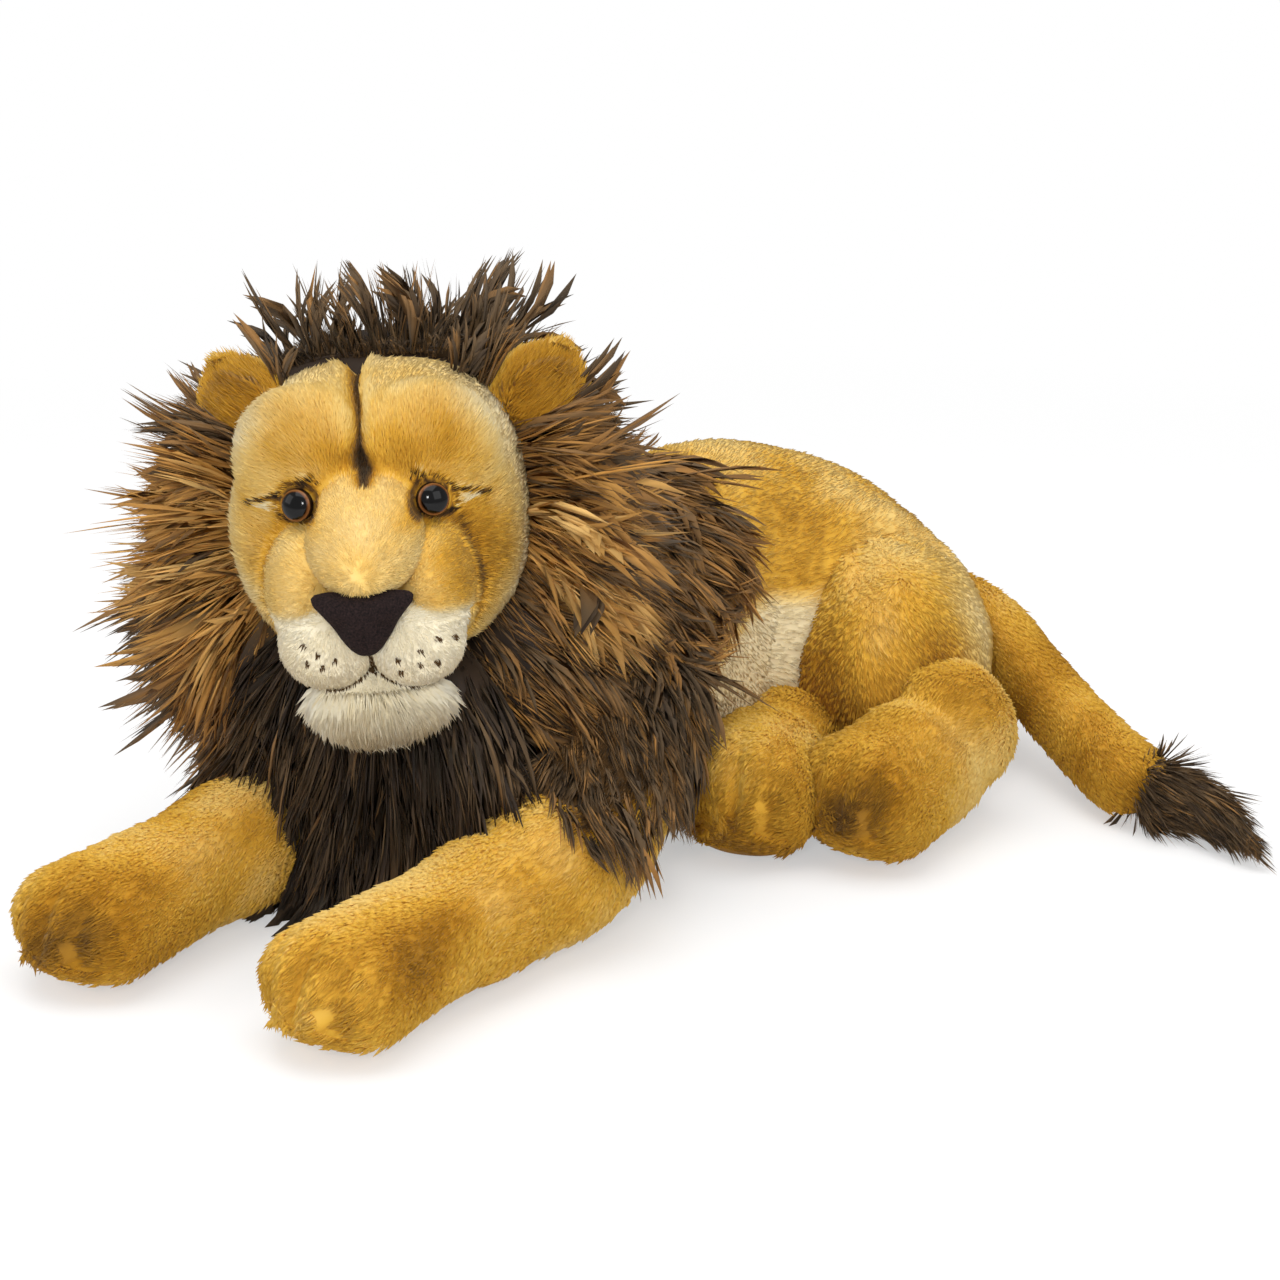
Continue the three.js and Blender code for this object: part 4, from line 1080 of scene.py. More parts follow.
def face_field(points):
    """Below zero inside the face: skull, brows and cheeks run into each other, the muzzle's forms keep
    their creases, a furrow parts the brows, and a socket is sunk round each eye."""
    apart = dict(zip(FACE_NAMES, face_distances(points)))
    group = lambda *names: np.stack([apart[name] for name in names])
    x, y, z = points.T
    mask = soft_union(group("head", "brow_left", "brow_right", "cheek_left", "cheek_right"), MASK_BLEND)
    furrow = near(x - furrow_at(z), FURROW_SPREAD) * ramp(z, FURROW_FROM, 0.01) * (y < 0.03)
    mask = mask + MASK_INSET + FURROW_DEPTH * furrow
    upper = soft_union(group("nose_bridge", "flew_left", "flew_right"), BRIDGE_BLEND)
    muzzle = soft_union(np.stack([upper, *group("lip_left", "lip_right")]), LIP_BLEND)
    muzzle = soft_union(np.stack([muzzle, apart["chin"]]), CHIN_BLEND)
    whole = soft_union(np.stack([mask, muzzle]), FACE_BLEND)
    for side in (1, -1):
        q = (points - (side * (EYE_OUT + 0.001), -EYE_AHEAD - 0.009, EYE_ABOVE)) / SOCKET_RADII
        whole = np.maximum(whole, (1 - np.linalg.norm(q, axis=-1)) * SOCKET_RADII[2])
    return whole


FACE_ROWS, FACE_SIDES, FACE_BUNCHING = 136, 190, 1.25
REACHES = np.linspace(0.165, 0.03, 55)


def make_face_skin():
    """For each direction from a point in the head, the outermost place where the field is zero. The
    directions are even in angle round the line of sight and closer together towards the front."""
    lean = np.pi * np.linspace(0, 1, FACE_ROWS + 2)[1:-1] ** FACE_BUNCHING
    lean, turn = (a.ravel() for a in np.meshgrid(lean, circle(FACE_SIDES), indexing="ij"))
    heading = vectors(np.sin(lean) * np.cos(turn), -np.cos(lean), -np.sin(lean) * np.sin(turn))
    heading = np.concatenate([[(0, -1, 0)], heading, [(0, 1, 0)]])
    found = np.full(len(heading), REACHES[-1])
    done = np.zeros(len(heading), bool)
    before = np.ones(len(heading))
    for near_step, far_step in zip(REACHES[1:], REACHES[:-1]):
        now = np.ones(len(heading))
        now[~done] = face_field(FACE_CENTRE + heading[~done] * near_step)
        hit = ~done & (now < 0)
        share = before[hit] / np.maximum(before[hit] - now[hit], 1e-9)
        found[hit] = far_step + (near_step - far_step) * share
        done |= hit
        before = np.where(done, before, now)
    for _ in range(3):
        here = face_field(FACE_CENTRE + heading * found[:, None])
        found -= np.clip(here, -0.001, 0.001) * 0.8
    return Skin(FACE_CENTRE + heading * found[:, None], closed_faces(FACE_ROWS, FACE_SIDES))


face_local_skin = make_face_skin()
face_skin = Skin(head_world(face_local_skin.places), face_local_skin.faces)
WHISKERS = np.array((
    (-32.3, -39.2), (-25.2, -43.5), (-17.5, -47.6), (-30.9, -48.3), (-23.9, -50.8), (35.9, -39.3),
    (43.7, -40.8), (27.0, -44.2), (15.6, -48.7), (26.4, -51.5), (35.0, -51.3), (16.3, -56.0))) / 1000
AMBER_SPOTS = ((-0.034, 0.050, 0.015, 0.07), (0.046, 0.052, 0.015, 0.09), (0.020, 0.056, 0.012, 0.15),
               (0.024, 0.042, 0.011, 0.15), (0.056, -0.006, 0.020, 0.16), (0.049, 0.010, 0.010, 0.10),
               (-0.016, 0.050, 0.010, 0.10), (0.004, 0.045, 0.010, 0.06))


DOT_SPREAD, MOUTH_SPREAD, MOUTH_HALF, MUZZLE_FROM = 0.0019, 0.0018, 0.026, -0.085


def marked(places):
    """Whether places lie in a whisker's dot, on the line of the mouth, which is partly its stitch and partly
    painted shade in the crease under the lips, or on the line up to the nose.
    """
    local = head_local(places)
    x, y, z = local.T
    apart = dict(zip(FACE_NAMES, face_distances(local)))
    dots = sum(near(np.hypot(x - dot_x, 0.85 * (z - dot_z)), DOT_SPREAD) for dot_x, dot_z in WHISKERS)
    # The mouth's line is dark: partly its stitch, partly painted shade in the crease between the lips and the
    # chin.
    mouth = near(apart["chin"] - np.minimum(apart["lip_left"], apart["lip_right"]), MOUTH_SPREAD)
    mouth = mouth * (np.abs(x) < MOUTH_HALF)
    cleft = near(x, MOUTH_SPREAD) * (z < -0.044) * (z > -0.061)
    return ((dots > 0.62) | (mouth > 0.6) | (cleft > 0.4)) & (y < MUZZLE_FROM)


BASE_TONES = {"head": 0.57, "nose_bridge": 0.65, "chin": 0.98, "brow": 0.56, "cheek": 0.56, "flew": 0.58,
              "lip": 0.87}
LIP_CREAM, EYE_CORNER, BROW_EDGE, LID, EYE_SOCKET_SHADE, BACK = 0.95, 0.86, 0.74, 0.92, 0.80, 0.10
FORM_CREASE_SHADE, FURROW_SHADE, CREASE_SHADE = 0.07, 0.93, 0.20


def face_tone(places, normals):
    """The face's colours by place: amber brows and cheeks, paler on bridge and flews, cream below the
    nose, cream with a dark line at the eyes' corners, and a dark furrow. Painted light and shade too: a
    paler rim, partly the cloth's own edge and partly painted light on the sides, and painted shade where
    the face's forms meet, at the eyes' inner corners, in a ring round each eye and in the crease between
    flew and cheek. The back of the head is dark under the mane."""
    local = head_local(places)
    x, y, z = local.T
    apart = face_distances(local)
    soft = np.array([0.0042 if name[:5] in ("head", "brow_", "cheek") else 0.0015 for name in FACE_NAMES])
    weight = np.exp(-np.clip(apart - apart.min(0), 0, 0.05) / soft[:, None])
    weight /= weight.sum(0)
    tone = sum(share * BASE_TONES[name.removesuffix("_left").removesuffix("_right")]
               for share, name in zip(weight, FACE_NAMES))
    ranked = np.sort(apart, 0)
    # Painted shade in the creases where the face's forms meet, on the front of the face.
    form_crease = near(ranked[1] - ranked[0], 0.0030) * (y < -0.040) * (z > -0.05)
    tone = tone - FORM_CREASE_SHADE * form_crease + patches(local, (0.07, 0.020, 41), (0.045, 0.008, 42))
    for spot_x, spot_z, spread, deep in AMBER_SPOTS:
        tone = tone - deep * near(np.hypot(x - spot_x, z - spot_z), spread) * (y < -0.03)
    # A paler rim round the face, most at the sides: partly the cloth's own paler edge, partly painted light
    # that brightens the sides, which turn away from the lamps.
    rim = ramp(np.hypot((x - 0.003) / 0.081, (z - 0.011) / 0.086), 0.82, 0.18)
    tone = tone + (0.06 + 0.28 * ramp(np.abs(x), 0, 0.081) ** 2) * rim * (y > -0.075)
    cream = 1 / (1 + np.exp((z + 0.021 + 0.12 * np.abs(x)) / 0.0012)) * (y < -0.086)
    tone = tone * (1 - cream) + (LIP_CREAM + 0.02 * drift(local, 0.01, 44)) * cream
    furrow = near(x - furrow_at(z), 0.0030 + 0.0045 * near(z - 0.045, 0.007)) * (z > FURROW_FROM) * (y < 0)
    furrow = furrow * (0.80 + 0.15 * near(z - 0.045, 0.008) + 0.15 * near(z - 0.09, 0.012))
    tone = tone * (1 - FURROW_SHADE * np.clip(1.15 * furrow, 0, 1))
    apart = dict(zip(FACE_NAMES, apart))
    for word, side in SIDES:
        out = side * x - EYE_OUT
        level = z - EYE_ABOVE + 0.10 * out
        # Painted shade at each eye's inner corner, deeper by the left eye.
        inner = near(np.hypot(out + 0.006, 1.2 * (level + 0.008)), 0.011)
        tone = tone - (0.16 if side > 0 else 0.09) * inner
        in_front = y < -0.04
        corner = (out > 0.002) & (out < 0.024) & (np.abs(level) < 0.0075 * (1 - out / 0.025))
        tone = np.where(corner & in_front, EYE_CORNER, tone)
        lid = near(level - 0.0078 * (1 - out / 0.026), 0.0014) * (out > -0.011) * (out < 0.026)
        tone = tone * (1 - LID * np.clip(1.3 * lid * in_front, 0, 1))
        edge = near(level - 0.0112 * (1 - out / 0.030), 0.0011) * (out > -0.008) * (out < 0.022)
        tone = tone + (BROW_EDGE - tone) * 0.7 * edge * in_front
        # Painted shade in a ring round each eye, where its socket sinks in.
        tone = tone * (1 - EYE_SOCKET_SHADE * near(np.hypot(out, level) - 0.0104, 0.0019) * in_front)
        crease = near(np.abs(apart[f"flew_{word}"] - apart[f"cheek_{word}"]), 0.004)
        tone = tone - CREASE_SHADE * crease * (side * x > 0.02) * (y < -0.05) * (z > -0.05) * (z < 0.02)
    back = ramp(y, 0.012, 0.006)
    return tone * (1 - back) + BACK * back


def face_nap(places):
    """The nap runs away from the nose over the face, and down over the chin."""
    local = head_local(places)
    away = vectors(1.2 * local[:, 0], 0.030, local[:, 2] + 0.012)
    away[:, 2] -= 0.05 * (local[:, 2] < -0.030) + 0.02 * (local[:, 2] < -0.055)
    return unit(away) @ HEAD_TURN.T


NOSE_BELOW = (0.0, 0.001, 0.003, 0.006, 0.0105, 0.016, 0.0235, 0.0305, 0.034, 0.036)
NOSE_HALF_WIDTHS = (0.019, 0.0245, 0.0265, 0.0260, 0.0222, 0.0180, 0.0138, 0.0090, 0.0055, 0.0015)
NOSE_AT, NOSE_LEAN, NOSE_POWER, NOSE_CROWN = (-0.0005, -0.1190, -0.0112), 14, 2.6, 0.0115


def nose_half_width(below):
    """Half of the nose's width at depths below its top edge: a wide top whose sides are drawn in."""
    return np.interp(below, NOSE_BELOW, NOSE_HALF_WIDTHS)


def under_nose(local):
    """Whether places of the head's frame lie behind the nose."""
    half = nose_half_width(NOSE_AT[2] - local[:, 2]) - 0.002
    return (np.abs(local[:, 0] - NOSE_AT[0]) < half) & (local[:, 1] < -0.09) & (
        np.abs(local[:, 2] - NOSE_AT[2] + 0.0165) < 0.0165)


def face_region(places):
    """The number of the form that each place belongs to."""
    return np.argmin(face_distances(head_local(places)), 0)


MUZZLE_PILE, SKULL_PILE, CHIN_PILE = 0.0050, 0.0075, 0.0150


def pile_length(places):
    """Longer pile over the skull and chin, and shorter on the muzzle and next to the eyes."""
    local = head_local(places)
    length = np.where(local[:, 1] < -0.080, MUZZLE_PILE, SKULL_PILE)
    chin = (face_region(places) == FACE_NAMES.index("chin")) & (local[:, 2] < -0.068)
    length = np.where(chin, CHIN_PILE, length)
    for dot_x, dot_z in WHISKERS:
        dot = near(np.hypot(local[:, 0] - dot_x, local[:, 2] - dot_z), 0.0030)
        length = length * (1 - 0.5 * dot * (local[:, 1] < MUZZLE_FROM))
    for side in (1, -1):
        apart = np.hypot(side * local[:, 0] - EYE_OUT, local[:, 2] - EYE_ABOVE)
        near_eye = np.where(local[:, 1] < -0.05, near(apart, 0.012), 0)
        length = length * (1 - 0.72 * near_eye)
    return length


HEAD_PILE, CROWN_FROM, EYE_HOLE = 0.62, 0.060, 0.0092
MARK_LIFT, MARK_LENGTH, MARK_STAND = 0.0018, 0.0026, 0.25
add_piece("head_skin", [skin_part(face_skin, face_tone(face_skin.places, face_skin.normals))], plush,
          "lion", ("head", "head_fill"))
face_roots, face_normals = roots_on(face_skin, 178000)
local_roots = head_local(face_roots)
face_shown = (local_roots[:, 1] < 0.012) & ~crest_form.holds(face_roots, 0.012) & ~under_nose(local_roots)
for eye_side in (1, -1):
    eye_gap = np.hypot(eye_side * local_roots[:, 0] - EYE_OUT, local_roots[:, 2] - EYE_ABOVE)
    face_shown &= ~((eye_gap < EYE_HOLE) & (local_roots[:, 1] < -0.05))
face_roots, face_normals = face_roots[face_shown], face_normals[face_shown]
face_parts = face_region(face_roots)
for number, region in enumerate(FACE_NAMES):
    chosen = face_parts == number
    if region == "head":
        thinned = chance.random(len(chosen)) < HEAD_PILE
        chosen &= thinned | (head_local(face_roots)[:, 2] > CROWN_FROM)
    spots, leans = face_roots[chosen], face_normals[chosen]
    hairs = [short_hairs(spots, leans, face_nap(spots), pile_length(spots), 0.0010,
                         face_tone(spots, leans) + FACE_UNEVEN * chance.normal(size=len(spots)),
                         0.30 if region == "head" else 0.42)]
    dark = marked(spots)
    if dark.any():
        spots, leans = spots[dark] + MARK_LIFT * leans[dark], leans[dark]
        hairs.append(short_hairs(spots, leans, face_nap(spots), MARK_LENGTH, 0.0010,
                                 np.full(len(spots), DARK), MARK_STAND))
    add_piece(f"{region}_pile", hairs, plush, "lion", () if region == "head" else (region,))


# Ears

EAR_GOLD, EAR_CUP, EAR_LINING, CUP_DEPTH = 0.50, 0.27, 0.30, 0.011


def ear_tone(centre, front):
    """Golden on the back and rim, dark brown in the cup."""
    def tone(places, normals):
        facing = normals @ front
        inner = ramp(facing, 0.50, 0.3) * near(distance(places, centre), 0.030)
        return (EAR_GOLD + 0.05 * drift(places, 0.015, 43)) * (1 - inner) + EAR_CUP * inner
    return tone


def cup(places, normals, share):
    """The front of the ear is pressed in, most at its middle."""
    hollow = np.clip(-normals[:, 1], 0, 1) * near(places[:, 0], 0.017) * near(places[:, 2], 0.022)
    return -CUP_DEPTH * hollow


for word, side in SIDES:
    form = ear_forms[word]
    plush_piece(f"ear_{word}_plush", form.skin(46, 64, inset=0.003, shaping=cup), 9500,
                steady(form.turn @ np.array((0.2 * side, 0.2, 1.0))),
                ear_tone(form.place, form.turn @ AHEAD), width=0.0011, stands_for=(f"ear_{word}",))


# Eyes and nose

DOME_RADIUS, DOME_HEIGHT, DOME_FROM, SHANK_END = 0.009, 0.0054, 0.0016, 0.019
EYE_SIDES = 48


def eye_profile():
    """Radius and place ahead, from the end of the shank over the rim and the dome to its middle."""
    bend = np.linspace(0, np.pi / 2, 14)[:-1]
    dome = vectors(DOME_RADIUS * np.cos(bend), DOME_FROM + DOME_HEIGHT * np.sin(bend))
    stem = np.array(((0.003, -SHANK_END), (0.003, 0.0), (0.0085, 0.0), (DOME_RADIUS, 0.0005)))
    return np.concatenate([stem, dome])


def make_eye(word, side):
    """The profile turned about the line that the eye looks along."""
    radius, ahead = eye_profile().T
    around = circle(EYE_SIDES)
    rings = vectors(radius[:, None] * np.cos(around), -ahead[:, None], radius[:, None] * np.sin(around))
    places = np.concatenate([[(0, SHANK_END, 0)], rings.reshape(-1, 3), [(0, -DOME_FROM - DOME_HEIGHT, 0)]])
    faces = closed_faces(len(radius), EYE_SIDES)
    share = np.repeat(np.where(ahead > 0.001, radius / DOME_RADIUS, 0.98), EYE_SIDES)
    share = np.concatenate([[0.98], share, [0.0]])
    swing = np.concatenate([[0.5], np.tile(np.abs(around / np.pi - 1), len(radius)), [0.5]])
    turn = HEAD_TURN @ turned(-8, 0, side * 20)
    places = places @ turn.T + in_head(side * EYE_OUT, -EYE_AHEAD, EYE_ABOVE)
    add_piece(f"eye_{word}_dome",
              [(places, facing_out(places, faces), vectors(share * 0.98 + 0.005, swing))],
              eye_plastic, "lion", (f"eye_{word}",))


eye_plastic = moulded("eye_plastic", 0.10, 0.25)
for word, side in SIDES:
    make_eye(word, side)
    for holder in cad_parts[f"eye_washer_{word}"].material_slots:
        holder.material = washer_finish()


def make_nose():
    """A velour pad filled to a soft crown: its half width changes with the depth below the top edge, and
    each level is the curve |x / w|^2.6 + |y / d|^2.6 = 1, with the depth d falling off at both ends."""
    level = (1 - np.cos(np.linspace(0, np.pi, 44)[1:-1])) / 2
    below = level * NOSE_BELOW[-1]
    crown = NOSE_CROWN * np.sqrt(np.maximum(1 - np.abs(2 * level - 1) ** 3.2, 0)) + 0.0005
    around = circle(72)
    cosine, sine = np.cos(around), np.sin(around)
    stretch = (np.abs(cosine) ** NOSE_POWER + np.abs(sine) ** NOSE_POWER) ** (-1 / NOSE_POWER)
    x = nose_half_width(below)[:, None] * stretch * cosine
    y = -np.where(sine > 0, crown[:, None], 0.002) * stretch * sine
    z = -np.repeat(below[:, None], len(around), 1) - 0.0016 * near(x, 0.012) * (1 - level[:, None]) ** 3
    dent = near(np.hypot(np.abs(x) - 0.0115, 0.7 * (z + 0.0165)), 0.0036)
    y = y + (0.0030 * dent + 0.0012 * near(x, 0.0016) * near(z + 0.024, 0.008)) * (sine > 0.2)
    rings = vectors(x, y, z).reshape(-1, 3)
    places = np.concatenate([[(0, -0.0005, -0.0012)], rings, [(0, -0.0005, -NOSE_BELOW[-1] - 0.0004)]])
    faces = closed_faces(len(level), len(around))
    places = places @ (HEAD_TURN @ turned(NOSE_LEAN, 0, 0)).T + in_head(*NOSE_AT)
    spread = 9 * places @ HEAD_TURN[:, ::2] + 0.5
    add_piece("nose_velour", [(places, facing_out(places, faces), spread)], velour(), "lion", ("nose",))


make_nose()


# Mane

FACE_KEPT_CLEAR, EAR_KEPT_CLEAR = ((0.003, 0.009), (0.082, 0.088), 0.94), (0.082, 0.080, 0.021)


def clear_of_face(paths):
    """Which paths pass neither before the face nor before the upper part of an ear."""
    local = head_local(paths[:, 1:])
    x, y, z = np.moveaxis(local, -1, 0)
    (middle_x, middle_z), (half_x, half_z), share = FACE_KEPT_CLEAR
    mask = (np.hypot((x - middle_x) / half_x, (z - middle_z) / half_z) < share) & (z > -0.034)
    before = (mask | ((np.abs(x) < 0.048) & (z > -0.070) & (z < 0))) & (y < -0.012)
    ear_x, ear_z, radius = EAR_KEPT_CLEAR
    for side in (1, -1):
        ear = np.hypot(x - CROWN_LEFT - side * ear_x, z - ear_z) < radius
        before |= ear & (y < 0.008)
    return ~before.any(1)


THINNEST, THICKER, OFF_SKIN = 0.7, 0.6, 0.10


def mane_piece(name, skin, count, flow, length, tone, stands_for=(), rise=0.35, fall=0.25, width=0.0009,
               clump=0.46, hidden_by=(), keep=None, wave=0.34, curl=0.22,
               body="lion", first=None, bare=False, skin_tone=0.16, lock_size=8, cover=0.004, hug=0.0,
               gather=0.50):
    """A mane pad: its skin, unless it is bare of one, and the long hair on it. A hair starts between its
    normal and its flow, or along `first` where that is given. `hug` turns the flow along the skin."""
    places, normals = roots_on(skin, count, keep)
    shown = places[:, 2] > SKIN_CLEAR
    for other in hidden_by:
        shown &= ~other.holds(places, cover)
    places, normals = places[shown], normals[shown]
    lengths = length(places) if callable(length) else np.full(len(places), length)
    course = flow(places)
    course = unit((1 - hug) * course + hug * (along_surface(course, normals) + OFF_SKIN * normals))
    lead = unit(rise * normals + (1 - rise) * course) if first is None else first(places, normals)
    paths, lock = flowing(places, lead, course, lengths, fall, clump, wave, curl, lock_size, gather)
    clear = clear_of_face(paths)
    places, paths, lock = places[clear], paths[clear], lock[clear]
    widths = width * (THINNEST + THICKER * chance.random(len(places)))
    parts = ([] if bare else [skin_part(skin, skin_tone)]) + [long_hairs(paths, widths, tone(places, lock))]
    return add_piece(name, parts, mane_hair, body, stands_for)


LOCK_NUMBERS = np.random.default_rng(77).uniform(-1, 1, 400000)


def lock_noise(lock):
    """A number from -1 to 1 that all hairs of a lock share."""
    return LOCK_NUMBERS[lock]


def dark_tones(base, spread=0.10, tip=0.10):
    """Dark brown, lock by lock, a little lighter to the tip."""
    def tone(places, lock):
        middle = base + spread * (0.6 * lock_noise(lock) + 0.7 * drift(places, 0.022, 58))
        middle = middle + HAIR_UNEVEN * chance.normal(size=len(places))
        return middle[:, None] + tip * HAIR_RUN
    return tone


def outward(places, back, down):
    """Away from the face's middle over the head's own front plane, backwards and down."""
    local = head_local(places)
    away = unit(vectors(local[:, 0], 0.0, local[:, 2] + 0.010))
    return unit(away + vectors(0.0, back, -down)) @ HEAD_TURN.T


COLLAR_RADIUS, COLLAR_AT, COLLAR_FLARE = 0.098, np.array((0.0, 0.020, -0.026)), 0.38
COLLAR_OUTER, COLLAR_INNER, COLLAR_DEPTH = 0.024, 0.044, 0.019
COLLAR_ROWS, COLLAR_SIDES = 96, 24
MANE_EDGE, WISP_EDGE = 0.126, 0.136
CARAMEL_ROOT, CARAMEL, CARAMEL_CHANGE = 0.32, 0.42, 0.26


def collar_skin():
    """A ring round the face: an oval of the outer, inner and depth radii carried round an upright circle
    that widens below its middle."""
    turn, bend = circle(COLLAR_ROWS), circle(COLLAR_SIDES)
    x, z = COLLAR_RADIUS * np.cos(turn), COLLAR_RADIUS * np.sin(turn)
    line = vectors(x * (1 + COLLAR_FLARE * np.maximum(0, -np.sin(turn))), 0.0, z)
    wide = np.where(np.cos(bend) > 0, COLLAR_OUTER, COLLAR_INNER) * np.cos(bend)
    rings = (line[:, None] + COLLAR_AT + wide[None, :, None] * unit(line)[:, None]
             + COLLAR_DEPTH * np.sin(bend)[None, :, None] * AHEAD)
    places = head_world(rings.reshape(-1, 3))
    return Skin(places, facing_out(places, band_faces(COLLAR_ROWS, COLLAR_SIDES, loop=True)))


def round_face(places):
    """Angle above the level, in degrees, and distance from the face's middle, both in its own plane."""
    local = head_local(places)
    return (np.degrees(np.arctan2(local[:, 2] - 0.005, np.abs(local[:, 0]))),
            np.hypot(local[:, 0], local[:, 2] - 0.005))


def beside_face(angle, least=0.0):
    """How far a place lies beside the face and not below it, by its angle."""
    return np.clip((angle + 50) / 30, least, 1)


def from_the_rim(places, normals):
    """A hair of the collar first stands ahead beside the face, and outwards further from it."""
    angle, far = round_face(places)
    inner = (ramp(far, 0.108, -0.025) * beside_face(angle))[:, None]
    return unit(0.25 * normals * (1 - inner) + 0.7 * outward(places, 0, 0)
                + 0.50 * inner * (HEAD_TURN @ AHEAD))


def collar_flow(places):
    """Outwards and down; ahead of the ring next to the face, and backwards at the ring's outer edge."""
    angle, far = round_face(places)
    return outward(places, 0.30 - 0.50 * ramp(far, 0.116, -0.03) * beside_face(angle, 0.3),
                   0.12 + 0.10 * (angle < 20))


def collar_length(places):
    """Long enough to lie over the ring to a little past its edge, and longer below."""
    angle, far = round_face(places)
    edge = MANE_EDGE + 0.045 * ramp(angle, 0, -60) - 0.012 * ramp(angle, 30, 20)
    left = np.where(head_local(places)[:, 0] > 0, 0.012, 0.016 * ramp(angle, -5, -30))
    return ((edge + left - far) * 1.05 + 0.010 * drift(places, 0.03, 51)).clip(0.012, 0.080)


def caramel_share(places):
    """How caramel the mane is: most beside the face on both sides, less above, below and behind."""
    angle, far = round_face(places)
    depth = np.clip((0.040 - head_local(places)[:, 1]) / 0.02, 0.1, 1)
    height = near(angle + 10, np.where(angle > -10, 34, 56))
    return height * depth * np.clip((0.124 - far) / 0.03, 0.15, 1)


def collar_tone(places, lock):
    """Caramel in streaks, with some dark tips, and dark brown."""
    caramel = caramel_share(places)
    noise = 0.5 * lock_noise(lock) + 0.6 * drift(places, 0.016, 59)
    root = CARAMEL_ROOT + caramel * (CARAMEL + CARAMEL_CHANGE * noise) + 0.08 * noise
    root = root + HAIR_UNEVEN * chance.normal(size=len(places))
    outer = ramp(round_face(places)[1], 0.096, 0.02)
    caramel = caramel[:, None]
    late = (np.where(noise < -0.2, -0.20, -0.04) - 0.20 * outer)[:, None] * caramel * HAIR_RUN**2
    return root[:, None] + 0.07 * np.sin(np.pi * HAIR_RUN) + late + 0.07 * (1 - caramel) * HAIR_RUN


def spreading(middle, half, aside, along, up):
    """A flow along the body and up or down that spreads to the side of a middle that a hair is on."""
    return lambda places: unit(vectors(aside * np.clip((places[:, 0] - middle) / half, -1, 1), along, up))


over_shoulders = spreading(-0.018, 0.06, 0.70, 0.42, -0.70)
down_the_chest = spreading(-0.016, 0.08, 0.55, -0.30, -1.0)
over_forelegs = spreading(0.009, 0.09, 0.55, -0.45, -0.75)


def mostly_at_the_rim(places):
    """Shares of roots to keep on the collar: all beside the face, fewer away from it and behind it."""
    angle, far = round_face(places)
    back = head_local(places)[:, 1]
    share = 0.45 + 0.55 * ramp(far, 0.116, -0.02) * (back < 0.020)
    return share * np.where(back < 0.034, 1, 0.45) * ramp(angle, 60, -12)


def wisps_at_the_rim(places):
    """Shares of roots to keep for the wisps: beside and below the face."""
    return mostly_at_the_rim(places) * (round_face(places)[0] < 36)


def head_back(places):
    """Shares of roots to keep on the back of the head."""
    local = head_local(places)
    return (local[:, 1] > 0.006) * (local[:, 2] > -0.060)


def standing_up(places):
    """Up from the crown and away from its middle, and backwards on its rear side."""
    local = head_local(places) - (CROWN_LEFT, 0.010, 0.020)
    rear = ramp(local[:, 1], -0.004, 0.03)
    lean = vectors(0.0, 0.05 + 1.4 * rear, 0.45 - 0.5 * rear)
    return unit(unit(local) * (1.2, 0.4, 1.0) + lean) @ HEAD_TURN.T


def crown_dip(places, normals, share):
    """The rear half of the crest's skin is drawn in."""
    return -0.012 * ramp(crest_form.in_row(places)[:, 1], -0.205, 0.03)


def patchy(length, size, seed, change=0.012):
    """A length that changes from patch to patch."""
    return lambda places: length + change * drift(places, size, seed)


def wisp_length(places):
    """Long enough to end a little past the collar's edge, more so on the left."""
    edge = WISP_EDGE + 0.014 * (head_local(places)[:, 0] > 0)
    return (edge - round_face(places)[1]).clip(0.028, 0.072)


collar = collar_skin()
mane_piece("mane_collar_hair", collar, 50000, collar_flow, collar_length, collar_tone, ("mane_collar",),
           hidden_by=(head_solid,), cover=0.025, fall=0.22, keep=mostly_at_the_rim,
           first=from_the_rim, width=0.00085, clump=0.40, curl=0.26,
           skin_tone=0.18 + 0.30 * caramel_share(collar.places))
mane_piece("mane_wisps", collar, 9000, collar_flow, wisp_length, collar_tone,
           hidden_by=(head_solid,), cover=0.025, fall=0.12, keep=wisps_at_the_rim, first=from_the_rim,
           width=0.0007, clump=0.60, wave=0.5, curl=0.34, bare=True, gather=0.85)
crest_skin = crest_form.skin(40, 40, inset=0.029, shaping=crown_dip)
mane_piece("mane_crest_hair", crest_skin, 5200, standing_up, patchy(0.011, 0.018, 52, 0.006),
           dark_tones(0.26, 0.06, 0.08), ("mane_crest",), rise=0.30, hidden_by=(head_solid,), cover=0.022,
           fall=0.0, curl=0.50, width=0.0007)
mane_piece("mane_crown_hair", face_skin, 7000, lambda p: outward(p, 1.6, 1.3), 0.028,
           dark_tones(0.28, 0.06, 0.08), rise=0.30, bare=True, keep=head_back, hidden_by=(nape_form,),
           cover=0.008, width=0.0012)
mane_piece("mane_crest_wisps", crest_skin, 1700, standing_up, patchy(0.046, 0.014, 60, 0.018),
           dark_tones(0.30, 0.07, 0.12), rise=0.20, hidden_by=(head_solid,), cover=0.014, fall=-0.05,
           curl=0.36, wave=0.8, clump=0.55, lock_size=4, bare=True, width=0.0006, gather=0.85,
           keep=lambda p: head_local(p)[:, 1] < 0.016)
mane_piece("mane_nape_hair", nape_form.skin(40, 50, inset=0.016), 5500, lambda p: outward(p, 1.2, 0.9),
           0.036, dark_tones(0.38), ("mane_nape",), rise=0.25, hidden_by=(head_solid, tucked_cape))
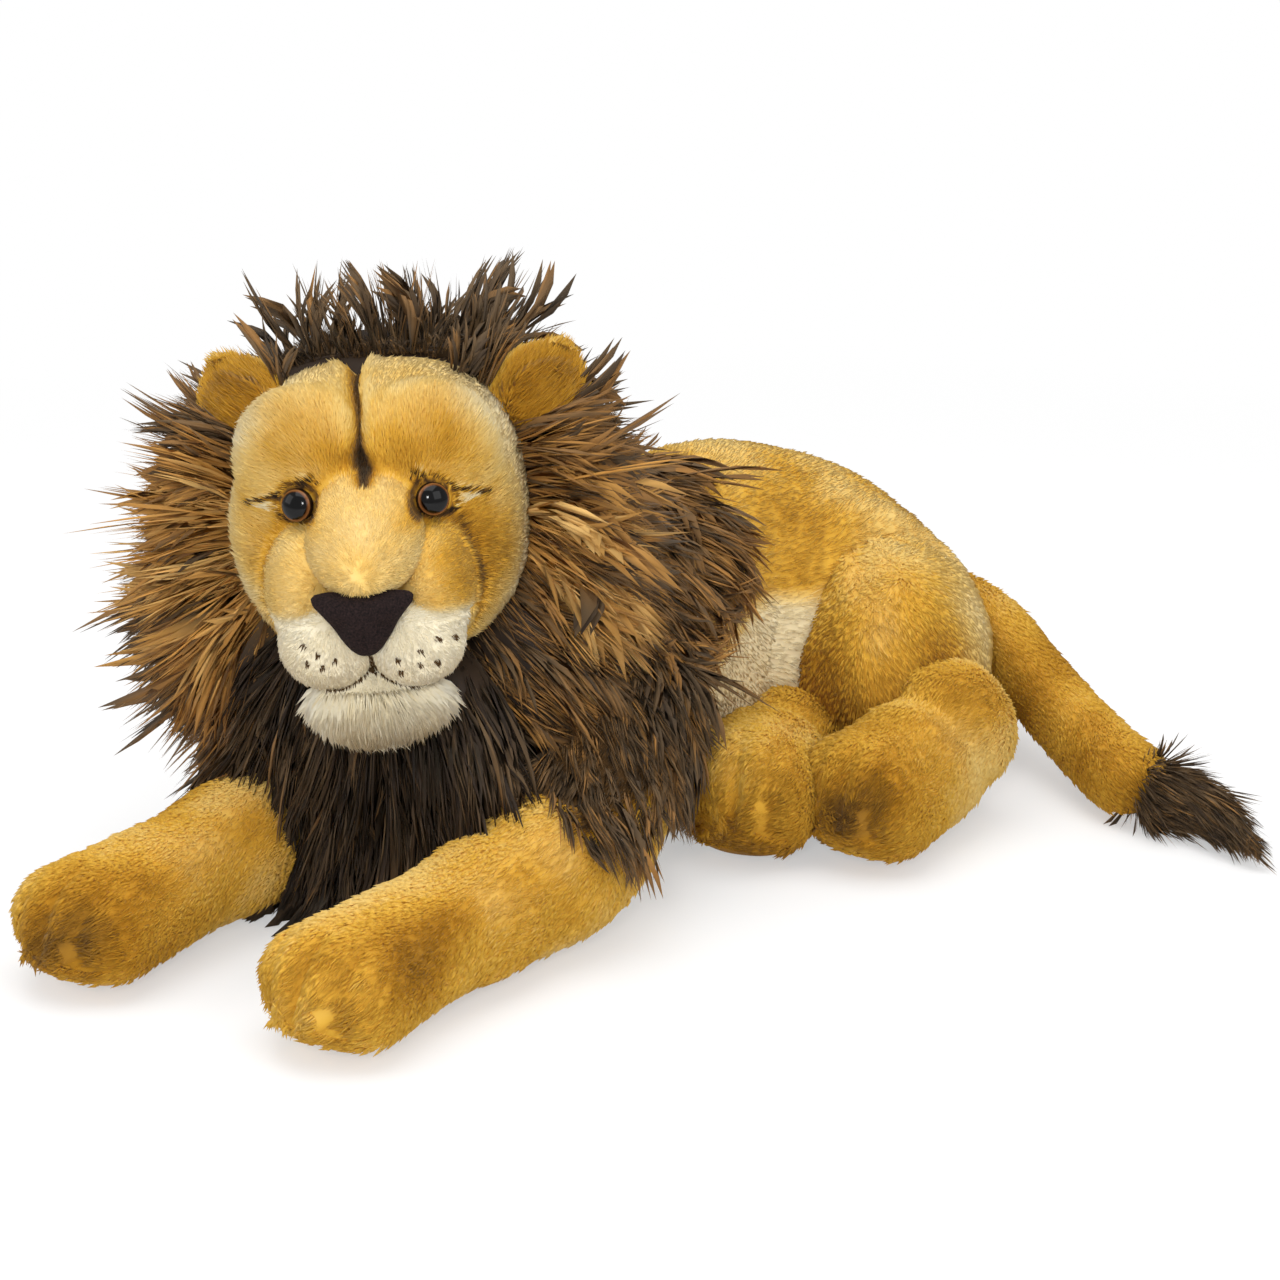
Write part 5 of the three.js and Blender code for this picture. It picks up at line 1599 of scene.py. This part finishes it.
mane_piece("mane_cape_hair", cape_form.skin(60, 72, inset=0.010, shaping=tucked_cape.shaping), 24000,
           over_shoulders, patchy(0.044, 0.04, 53, 0.010), dark_tones(0.44, 0.12, 0.12), ("mane_cape",),
           rise=0.34, hug=0.88, fall=0.12, cover=0.016,
           hidden_by=(nape_form, bib_form, torso_form, *foreleg_forms.values()),
           keep=lambda p: 1 - ramp(tuck(p), 0, 0.03))
mane_piece("mane_bib_hair", bib_form.skin(44, 56, inset=0.012), 8200, down_the_chest,
           patchy(0.060, 0.03, 54), dark_tones(0.17, 0.12, 0.12), ("mane_bib",), rise=0.32, clump=0.60,
           width=0.0010)
for word, locks in (("left", 23000), ("right", 14000)):
    mane_piece(f"mane_shoulder_{word}_hair", foreleg_forms[word].skin(60, 48), locks, over_forelegs,
               patchy(0.040, 0.03, 55), dark_tones(0.33, 0.12, 0.12), rise=0.34, hug=0.9, bare=True,
               hidden_by=(bib_form,), cover=0.014, keep=lambda p: locks_cover(p, word))


# Tail and tuft

TUFT_TIP = np.array((0.366, 0.101, 0.010))


def tail_tone(places, normals):
    """The body's tone, a little deeper."""
    return body_tone(places, normals) - 0.09


tail_piece = plush_piece("tail_plush", tail_form.skin(70, 48, floor=SKIN_CLEAR), 22000,
                         steady((0.75, -0.65, -0.2)), tail_tone, body=None,
                         stands_for=("tail", "tail_fill"), hidden_by=(torso_form, haunch_forms["left"]))
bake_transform(tail_piece)
mane_piece("tail_tuft_hair", tuft_form.skin(40, 32, inset=0.009), 3400, lambda p: unit(TUFT_TIP - p),
           lambda p: (1.02 * distance(p, TUFT_TIP)).clip(0.006, 0.032), dark_tones(0.27, 0.10, 0.12),
           ("tail_tuft",), rise=0.10, fall=0.02, clump=0.35, body="tail", hug=0.75, wave=0.10, curl=0.10,
           gather=0.3)

for word, side in SIDES:
    lining = ear_form(side, 0.014, 0.036, 0.040, 0.008, -0.004, 0.064)
    plush_piece(f"ear_lining_{word}_fur", lining.skin(30, 40, inset=0.001), 2600,
                steady(lining.turn @ np.array((0.5 * side, -0.2, 1.0))),
                lambda places, normals: EAR_LINING + 0.05 * drift(places, 0.012, 57), length=0.010,
                stands_for=(f"ear_lining_{word}",))

place_camera()
light_studio()
lay_floor()
bpy.context.scene.view_settings.view_transform = "Standard"
